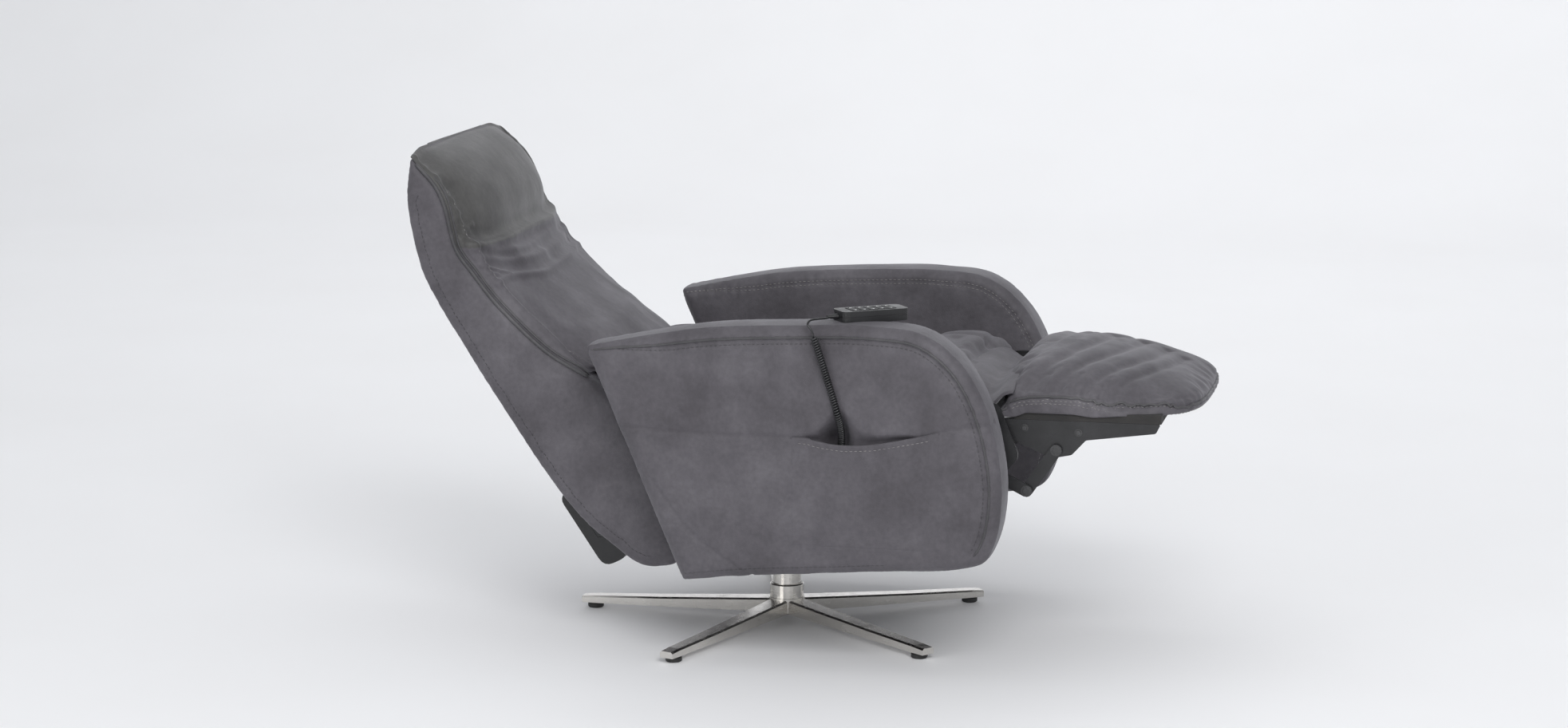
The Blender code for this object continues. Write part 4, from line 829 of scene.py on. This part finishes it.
def make_back_shell():
    outline = np.vstack([BACK_REAR, BACK_SEAM[:-1], BACK_WELT])
    outline = spaced(outline, step=0.008, closed=True)
    obj = slab("back_shell_cover", outline, -SHELL_HALF, SHELL_HALF, 0.013, 0.004, GREY, 0.005)
    found = points_of(obj)
    flat = side_view(found)
    side = np.abs(found[:, 0]) > SHELL_HALF - 0.01
    amount = crease(flat, ((-0.588, 0.812), (-0.602, 0.79), (-0.617, 0.76)), 0.002, 0.003) * side
    amount += crease(flat, moved_in(BACK_REAR, 0.012)[20:], 0.0022, 0.003, 0.0006, 0.03) * side
    low_rear = BACK_REAR[96:158]
    for across, depth in ((-0.045, 0.0045), (0.045, 0.0045), (-0.165, 0.003), (0.165, 0.003)):
        line = side_line(low_rear, across)
        amount += crease(found, line, depth, 0.006, 0.001, 0.03, 0.02, across * 50)
    pull_hole = np.array(at(-0.15, -0.258, 0.198))
    amount += -0.006 * np.exp(-(np.linalg.norm(found - pull_hole, axis=1) / 0.007) ** 2)
    amount += rumple(found, 6.0, turn=7.0) * 0.0016
    low = np.exp(-np.maximum(0, found[:, 2] - 0.17) / 0.08)
    amount += rumple(found, 17.0, (1, 1, 0.45), 2.0) * 0.003 * low
    neck = np.exp(-((flat[:, 0] - NECK[0]) ** 2 + (flat[:, 1] - NECK[1]) ** 2) / 0.05 ** 2)
    amount += rumple(found, 30.0, (1.4, 1, 1), 8.0) * 0.0016 * neck
    push_out(obj, amount)
    over_the_neck(obj)
    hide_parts("back_shell", "headrest_shell")
    tree = tree_of(obj)
    for number, side in enumerate((-1, 1), 1):
        row = side_line(moved_in(BACK_REAR[24:150], 0.017), side * 0.3)
        over_the_neck(stitches(f"back_rear_thread_{number}", *laid_on(tree, row, THREAD_LIFT), PIPING))


BACK_FOLDS = (
    (((-0.262, 0.692), (-0.18, 0.678), (-0.08, 0.672), (0.04, 0.676), (0.15, 0.68), (0.262, 0.684)),
     0.0062, 0.0095),
    (((-0.262, 0.68), (-0.19, 0.664), (-0.1, 0.655), (0.02, 0.657), (0.14, 0.66), (0.262, 0.664)),
     0.0052, 0.009),
    (((-0.262, 0.634), (-0.21, 0.641), (-0.15, 0.637), (-0.08, 0.632), (0.0, 0.635), (0.1, 0.637),
      (0.2, 0.641), (0.262, 0.634)), 0.0058, 0.007),
    (((-0.2, 0.548), (-0.08, 0.541), (0.06, 0.545), (0.2, 0.549)), 0.003, 0.022),
    (((-0.13, 0.664), (-0.08, 0.656), (-0.03, 0.653)), 0.006, 0.024),
    (((-0.262, 0.668), (-0.23, 0.654), (-0.205, 0.646)), 0.0036, 0.0042),
    (((-0.262, 0.655), (-0.236, 0.648)), 0.0026, 0.004),
    (((0.262, 0.674), (0.226, 0.662), (0.195, 0.652)), 0.003, 0.0045),
    (((-0.262, 0.716), (-0.24, 0.728), (-0.222, 0.734)), 0.0024, 0.0045),
    (((0.262, 0.718), (0.24, 0.73)), 0.0024, 0.0045),
)


def make_back_pad():
    count = 90
    base = spaced(BACK_WELT[::-1], count=count)
    front = spaced(BACK_FRONT, count=count)
    fullness = 0.64 + 0.13 * smoothstep(0.7, 0.78, front[:, 1])
    face = base + (front - base) * fullness[:, None]

    def tops(share):
        return float(1 - smoothstep(0.16, 0.34, share))

    obj = pad("back_pad_cover", base, face, PAD_HALF, 0.0065, GREY, tops=tops)
    welt = spaced(BACK_WELT, step=0.01)

    def held(points):
        away, _ = near(side_view(points), welt)
        return (away < 0.004) | (np.abs(points[:, 0]) > 0.257)

    puffed(obj, 0.01, 0.0, held)
    modify(obj, "SUBSURF", levels=1, render_levels=1)
    tree = tree_of(obj)
    neck = cast(tree, ((-0.262, 0.703), (-0.22, 0.695), (-0.15, 0.692), (-0.05, 0.697), (0.05, 0.698),
                       (0.15, 0.694), (0.22, 0.697), (0.262, 0.704)), True)
    found = points_of(obj)
    amount = crease(found, neck, 0.0125, 0.0115)
    amount += crease(found, neck + np.array((0, -0.004, 0.022)), -0.006, 0.014)
    amount += folds_on(found, tree, BACK_FOLDS, from_front=True)
    for side in (-1, 1):
        edge, _ = laid_on(tree, side_line(BACK_WELT, side * PAD_HALF), 0.0)
        amount += crease(found, edge, 0.0, 0.01, 0.0011, 0.042, 0.024, side * 1.9)
        inner = side_line(spaced(BACK_WELT, step=0.006), side * 0.252)
        inner, _ = laid_on(tree, inner + OFF_THE_PAD, 0.0)
        amount += crease(found, inner, 0.002, 0.0034)
    amount += rumple(found, 6.5, (0.5, 0.9, 0.9), 11.0) * 0.003
    amount += rumple(found, 17.0, (0.25, 1.2, 1.2), 15.0) * 0.0012
    edge_share = smoothstep(0.0, 0.014, PAD_HALF - np.abs(found[:, 0]))
    edge_share = edge_share * (1 - 0.35 * smoothstep(0.16, 0.25, found[:, 0]))
    push_out(obj, amount * edge_share)
    obj.data.materials.append(HEAD)
    above = [polygon.center[2] - HEAD_SEAM_UP > 0 for polygon in obj.data.polygons]
    obj.data.polygons.foreach_set("material_index", np.array(above).astype(np.int32))
    over_the_neck(obj)
    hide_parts("back_cushion", "headrest_cushion")
    tree = tree_of(obj)
    for number, side in enumerate((-1, 1), 1):
        line = spaced(side_line(BACK_WELT[:-9], side * 0.2675), step=0.006)
        over_the_neck(tube(f"back_welt_{number}", line, 0.0034, PIPING))
        line = spaced(side_line(moved_in(BACK_WELT, -0.0062)[:-12], side * 0.26), step=0.006)
        line, _ = laid_on(tree, line, 0.0002)
        over_the_neck(tube(f"back_inner_welt_{number}", line, 0.0022, PIPING))
        row = side_line(spaced(BACK_WELT[:-12], step=0.006), side * 0.252)
        row, _ = laid_on(tree, row + OFF_THE_PAD, THREAD_LIFT)
        over_the_neck(stitches(f"back_thread_{number}", *laid_on(tree, calmed(row, 12), THREAD_LIFT)))


def make_lower_roll():
    """The bottom of the back's front: a short roll that closes the gap to the seat."""
    keys = ((-0.285, 0.478), (-0.22, 0.498), (-0.16, 0.486), (-0.126, 0.452), (-0.121, 0.41),
            (-0.15, 0.378), (-0.2, 0.368), (-0.245, 0.385))
    outline = curve_through(keys, closed=True, parts=10)
    obj = slab("back_lower_roll", outline, -0.236, 0.236, 0.018, 0.003, GREY, 0.006)
    push_out(obj, rumple(points_of(obj), 9.0, (0.6, 1, 1), 41.0) * 0.003)
    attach(obj, "back")


make_back_shell()
make_back_pad()
make_lower_roll()


# ---- seat
DECK_REAR = -0.1


def make_seat():
    tilt = math.tan(math.radians(7.0))

    def over_deck(forward, height):
        """A place above the seat's sloping deck, which ends at DECK_REAR."""
        return (forward, 0.3555 + max(forward, DECK_REAR) * tilt + 0.0155 + height)

    base = [over_deck(DECK_REAR, 0), over_deck(0.326, 0), over_deck(0.366, 0.028)]
    crown = ((-0.104, 0.06), (-0.06, 0.082), (0.05, 0.094), (0.18, 0.097), (0.28, 0.095), (0.345, 0.086),
             (0.372, 0.064))
    face = curve_through([over_deck(forward, height) for forward, height in crown])
    table = ((0, 1), (0.35, 0.995), (0.6, 0.975), (0.8, 0.935), (0.9, 0.88), (0.96, 0.78), (0.99, 0.6),
             (1.0, 0.0))
    obj = pad("seat_cover", base, face, 0.262, 0.0065, GREY, table)

    def held(points):
        return (np.abs(points[:, 0]) > 0.25) | (points[:, 2] < 0.375)

    puffed(obj, 0.012, 0.03, held)
    modify(obj, "SUBSURF", levels=1, render_levels=1)
    tree = tree_of(obj)
    found = points_of(obj)
    amount = rumple(found, 5.0, (1, 1.3, 1), 21.0) * 0.005
    amount += rumple(found, 13.0, (0.6, 1.5, 1), 25.0) * 0.0022
    folds = (
        (((-0.25, 0.3), (-0.15, 0.285), (-0.02, 0.305), (0.1, 0.29)), 0.0055, 0.013),
        (((-0.22, 0.215), (-0.05, 0.235), (0.12, 0.215), (0.24, 0.24)), 0.0045, 0.016),
        (((-0.25, 0.345), (-0.1, 0.338), (0.08, 0.346), (0.25, 0.338)), 0.005, 0.01),
        (((-0.2, 0.12), (0.0, 0.1), (0.2, 0.125)), 0.004, 0.018),
        (((-0.05, 0.355), (-0.01, 0.3), (0.02, 0.25)), 0.004, 0.011),
        (((0.12, 0.35), (0.14, 0.29), (0.17, 0.24)), 0.004, 0.01),
        (((-0.18, 0.352), (-0.15, 0.31)), 0.0035, 0.008),
    )
    amount += folds_on(found, tree, folds)
    push_out(obj, np.maximum(amount, -0.012))
    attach(obj, "seat_unit")
    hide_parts("seat_cushion")


make_seat()


# ---- legrest
def legrest_plan(across, forward):
    """The cushion's rounded front: the sides end further back than the middle."""
    share = abs(across) / 0.256
    draw = 0.01 * share ** 2 + 0.075 * share ** 5 + 0.055 * share ** 14
    return forward - draw * float(smoothstep(0.5, 0.765, forward))


def make_legrest():
    bottom = 0.4445
    base = [(0.42, 0.4365), (0.452, 0.4365), (0.47, bottom), (0.58, bottom), (0.7, bottom - 0.004),
            (0.76, bottom)]
    face = curve_through((
        (0.418, 0.494), (0.432, 0.51), (0.465, 0.518), (0.53, 0.52), (0.6, 0.512), (0.66, 0.499),
        (0.715, 0.482), (0.748, 0.469), (0.762, 0.459), (0.765, 0.45)))
    table = ((0, 1), (0.35, 0.97), (0.6, 0.88), (0.8, 0.74), (0.9, 0.61), (0.95, 0.52), (0.985, 0.42),
             (0.996, 0.36), (1.0, 0.0))
    obj = pad("legrest_cover", base, face, 0.256, 0.006, GREY, table, legrest_plan)

    def held(points):
        return (points[:, 2] < 0.46) | (np.abs(points[:, 0]) > 0.249)

    puffed(obj, 0.012, 0.035, held)
    modify(obj, "SUBSURF", levels=1, render_levels=1)
    tree = tree_of(obj)
    found = points_of(obj)
    welt_side = [(0.4, 0.467), (0.47, 0.4745), (0.56, 0.479)]
    outline = [(-0.262, *place) for place in welt_side]
    for across in np.linspace(-0.25, 0.25, 13):
        ahead = legrest_plan(across, 0.766)
        up = 0.469 - 0.012 * smoothstep(0.66, 0.765, ahead) + 0.004 * abs(across / 0.25) ** 3
        outline.append((across, ahead, up))
    outline += [(0.262, *place) for place in reversed(welt_side)]
    ring = even_curve([at(*place) for place in outline], 0.005)
    ring, _ = laid_on(tree, ring, 0.0)
    amount = crease(found, ring, 0.0032, 0.0036, 0.0007, 0.034, 0.024, 0.4)
    lower = ring + np.array((0, 0, -0.021))
    lower, _ = laid_on(tree, lower, 0.0)
    amount += crease(found, lower, 0.0014, 0.003)
    folds = (
        (((-0.235, 0.47), (-0.12, 0.52), (0.02, 0.56), (0.14, 0.575)), 0.0062, 0.013),
        (((-0.24, 0.52), (-0.12, 0.575), (0.00, 0.615), (0.12, 0.628)), 0.006, 0.012),
        (((-0.24, 0.57), (-0.14, 0.622), (-0.02, 0.66), (0.1, 0.672)), 0.0055, 0.011),
        (((-0.225, 0.622), (-0.13, 0.668), (-0.03, 0.695), (0.06, 0.706)), 0.0045, 0.01),
        (((-0.225, 0.432), (-0.1, 0.462), (0.05, 0.492), (0.2, 0.505)), 0.0045, 0.014),
        (((0.02, 0.52), (0.12, 0.528), (0.22, 0.56)), 0.0045, 0.012),
        (((0.05, 0.6), (0.15, 0.6), (0.23, 0.63)), 0.004, 0.011),
        (((-0.245, 0.495), (-0.205, 0.505)), 0.003, 0.006),
        (((-0.245, 0.545), (-0.205, 0.557)), 0.003, 0.006),
        (((-0.235, 0.595), (-0.2, 0.606)), 0.003, 0.006),
    )
    amount += folds_on(found, tree, folds)
    above = smoothstep(0.462, 0.485, found[:, 2])
    amount += rumple(found, 9.0, (1, 1.2, 1), 31.0) * 0.003 * above
    amount += rumple(found, 26.0, (0.6, 1.3, 1), 35.0) * 0.001 * above
    under = found[:, 2] < 0.447
    push_out(obj, np.where(under, 0, amount))
    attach(obj, "legrest")
    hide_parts("legrest_cushion")
    tree = tree_of(obj)
    ring, _ = laid_on(tree, ring, 0.0009)
    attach(tube("legrest_welt", ring, 0.0023, PIPING), "legrest")
    for number, drop in enumerate((0.0065, 0.0115), 1):
        row = laid_on(tree, ring + np.array((0, 0, -drop)), THREAD_LIFT)
        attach(stitches(f"legrest_thread_{number}", *row), "legrest")


def make_bridge():
    """The leather carries on from the seat to the footrest with a soft dip between them."""
    columns = np.linspace(-0.25, 0.25, 60)
    keys = curve_through([(0.34, 0.488), (0.362, 0.487), (0.38, 0.478), (0.396, 0.47), (0.412, 0.477),
                          (0.43, 0.494), (0.448, 0.5)])
    rows = spaced(keys, step=0.0035)
    points = []
    for layer in (0, 1):
        for across in columns:
            drop = 0.02 * abs(across / 0.25) ** 4
            for number, (forward, up) in enumerate(rows):
                share = number / (len(rows) - 1)
                fold = 0.0022 * noise.noise(Vector((across * 24, forward * 30, 2.0)))
                fold *= math.sin(math.pi * share)
                points.append(at(across, forward, up + fold - drop - 0.004 * layer))
    faces = sheet_faces(len(columns), len(rows), 1)
    obj = mesh_object("seat_to_legrest_leather", points, faces, GREY)
    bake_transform(obj)


make_legrest()
make_bridge()


# ---- metal, plastic and small pieces
def pairs(*names):
    return [f"{name}_{word}" for name in names for word in ("right", "left")]


PLAIN = (
    (STEEL, ["base_star", "column_tube", "column_collar", "swivel_spindle"]),
    (GLIDE, [f"base_foot_{number}" for number in range(1, 6)]),
    (BOARD, ["seat_deck", "legrest_board"]),
    (ROD, ["leg_actuator_rod", "back_actuator_rod"]),
    (BLACK, ["leg_actuator", "back_actuator", "control_box", "battery_dock", "battery_pack", "battery_latch",
             "cord_grommet"]),
    (HANDSET, ["handset_lower_shell", "handset_upper_shell", "handset_strain_relief"]),
    (KEYS, [f"handset_rocker_{number}" for number in range(1, 6)]),
    (FRAME_BLACK, ["swivel_plate", "crossbar_rear", "crossbar_front", "legrest_tube", "back_tube",
                   "back_crossbar", "headrest_plate"]
     + pairs("side_plate", "arm_spacer", "legrest_bracket", "strut_link", "lower_link", "back_post")),
)
BEVELS = {"base_star": 0.0022, "battery_pack": 0.0035, "handset_upper_shell": 0.0024,
          "handset_lower_shell": 0.0024, "legrest_board": 0.002}
SMALL_BEVEL = 0.0008


def finish_plain_piece(name, material):
    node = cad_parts[name]
    node.data.materials.clear()
    node.data.materials.append(material)
    if name.startswith("base_foot") or name == "swivel_spindle":
        return
    modifier = node.modifiers.new("edge", "BEVEL")
    modifier.width = BEVELS.get(name, SMALL_BEVEL)
    modifier.segments = 3
    modifier.limit_method = "ANGLE"
    modifier.angle_limit = math.radians(32)
    modifier.harden_normals = False


for material, names in PLAIN:
    for name in names:
        finish_plain_piece(name, material)


def bolt(name, centre, axis, radius, height, body):
    """A domed hex head on a washer."""
    axis = Vector(axis).normalized()
    side = axis.orthogonal().normalized()
    other = axis.cross(side)
    count = 24
    points = []
    profile = []
    levels = ((1.35, 0.0, False), (1.35, 0.0011, False), (1.0, 0.0012, True), (1.0, height * 0.8, True),
              (0.82, height, True))
    for share, up, hexagonal in levels:
        profile.append(range(len(points), len(points) + count))
        for step in range(count):
            angle = 2 * math.pi * step / count
            size = radius * share
            if hexagonal:
                within = (angle % (math.pi / 3)) - math.pi / 6
                size *= math.cos(math.pi / 6) / math.cos(within)
            round_axis = side * math.cos(angle) + other * math.sin(angle)
            points.append(Vector(centre) + axis * up + round_axis * size)
    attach(mesh_object(name, points, closed_rings(profile), BOLT, smooth=False), body)


BOLTS = (
    ("leg_pivot_bolt", PLATE_FACE, LEGREST_PIVOT, 0.0075, 0.0055, "seat_unit"),
    ("link_pivot_bolt", PLATE_FACE, LINK_PIVOT, 0.0075, 0.0055, "seat_unit"),
    ("strut_bolt", STRUT_FACE, STRUT_PIVOT, 0.0072, 0.0016, "legrest"),
    ("lower_bolt", LINK_FACE, LOWER_PIN, 0.0072, 0.0016, "lower_links"),
    ("bracket_bolt_rear", BRACKET_FACE, BRACKET_BOLTS["rear"], 0.005, 0.004, "legrest"),
    ("bracket_bolt_front", BRACKET_FACE, BRACKET_BOLTS["front"], 0.005, 0.004, "legrest"),
    ("back_pivot_bolt", PLATE_FACE, BACK_PIVOT, 0.008, 0.0055, "seat_unit"),
)

for side, word in ((-1, "right"), (1, "left")):
    for name, face, place, radius, height, body in BOLTS:
        bolt(f"{name}_{word}", at(side * face, *place), (side, 0, 0), radius, height, body)
bolt("hub_nut", (0, SWIVEL_Y, 0.033), (0, 0, -1), 0.013, 0.009, "base")


def make_key_marks():
    """Plain arrows on the keys, two to a rocker."""
    for number in range(1, 6):
        name = f"handset_rocker_{number}"
        low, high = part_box(name)
        centre = (low + high) / 2
        top = high.z
        tree = tree_of(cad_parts[name])
        spots = points_of(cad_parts[name])
        flat = spots[:, :2] - np.array(centre)[:2]
        spread = np.linalg.eigh(np.cov(flat.T))[1][:, 1]
        long_way = Vector((float(spread[0]), float(spread[1]), 0)).normalized()
        reach = float(np.abs(flat @ spread).max())
        short_way = Vector((-long_way.y, long_way.x, 0))
        points = []
        faces = []
        for turn in (-1, 1):
            middle = centre + long_way * (turn * reach * 0.62)
            corners = []
            for along, side in ((0.0034, 0.0), (-0.002, 0.003), (-0.0008, 0.0), (-0.002, -0.003)):
                place = middle + long_way * (turn * along) + short_way * side
                hit, _, _, _ = tree.ray_cast(Vector((place.x, place.y, top + 0.05)), Vector((0, 0, -1)))
                corners.append((place.x, place.y, top if hit is None else hit.z))
            first = len(points)
            for lift in (-0.0002, 0.00015):
                points += [(x, y, up + lift) for x, y, up in corners]
            faces += closed_rings([range(first, first + 4), range(first + 4, first + 8)])
        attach(mesh_object(f"key_marks_{number}", points, faces, MARKS), f"rocker_{number}")


make_key_marks()


# ---- floor and light
def make_stage():
    look = Look("floor_look")
    look.shade("Roughness", 0.55)
    cloud = look.noise(1.5, 3.0)
    look.shade("Base Color", look.ramp(cloud, (0.3, (0.93, 0.928, 0.94)), (0.7, (0.95, 0.95, 0.965))))
    bend_start = 5.0
    bend = 3.0
    profile = [(-14.0, 0.0), (bend_start, 0.0)]
    for step in range(1, 17):
        angle = math.pi / 2 * step / 16
        profile.append((bend_start + bend * math.sin(angle), bend - bend * math.cos(angle)))
    profile.append((bend_start + bend, 12.0))
    points = [(x, y, up) for y in (-16.0, 16.0) for x, up in profile]
    count = len(profile)
    faces = [(step, step + 1, step + 1 + count, step + count) for step in range(count - 1)]
    mesh = bpy.data.meshes.new("floor")
    mesh.from_pydata(points, [], [ring[::-1] for ring in faces])
    mesh.shade_smooth()
    mesh.materials.append(look.material)
    floor = linked(bpy.data.objects.new("floor", mesh))
    for name, place, target, size, power in (
        ("key_light", (-5.2, -2.2, 4.2), (0.3, 0, 0.5), 3.2, 215.0),
        ("top_light", (0.4, 0.6, 4.6), (0, 0, 0.4), 4.0, 14.0),
        ("fill_light", (-5.0, 2.8, 1.8), (0, 0, 0.4), 3.2, 50.0),
        ("back_light", (3.5, 0, 6.5), (8.0, 0, 3.0), 5.0, 135.0),
    ):
        data = bpy.data.lights.new(name, "AREA")
        data.size = size
        data.energy = power
        light = linked(bpy.data.objects.new(name, data))
        light.location = place
        light.rotation_euler = (Vector(target) - Vector(place)).to_track_quat("-Z", "Y").to_euler()
    world = bpy.data.worlds.new("studio")
    world.use_nodes = True
    background = world.node_tree.nodes["Background"].inputs
    background["Color"].default_value = (0.86, 0.88, 0.9, 1)
    background["Strength"].default_value = 0.6
    bpy.context.scene.world = world
    bpy.context.scene.view_settings.view_transform = "Standard"


make_stage()
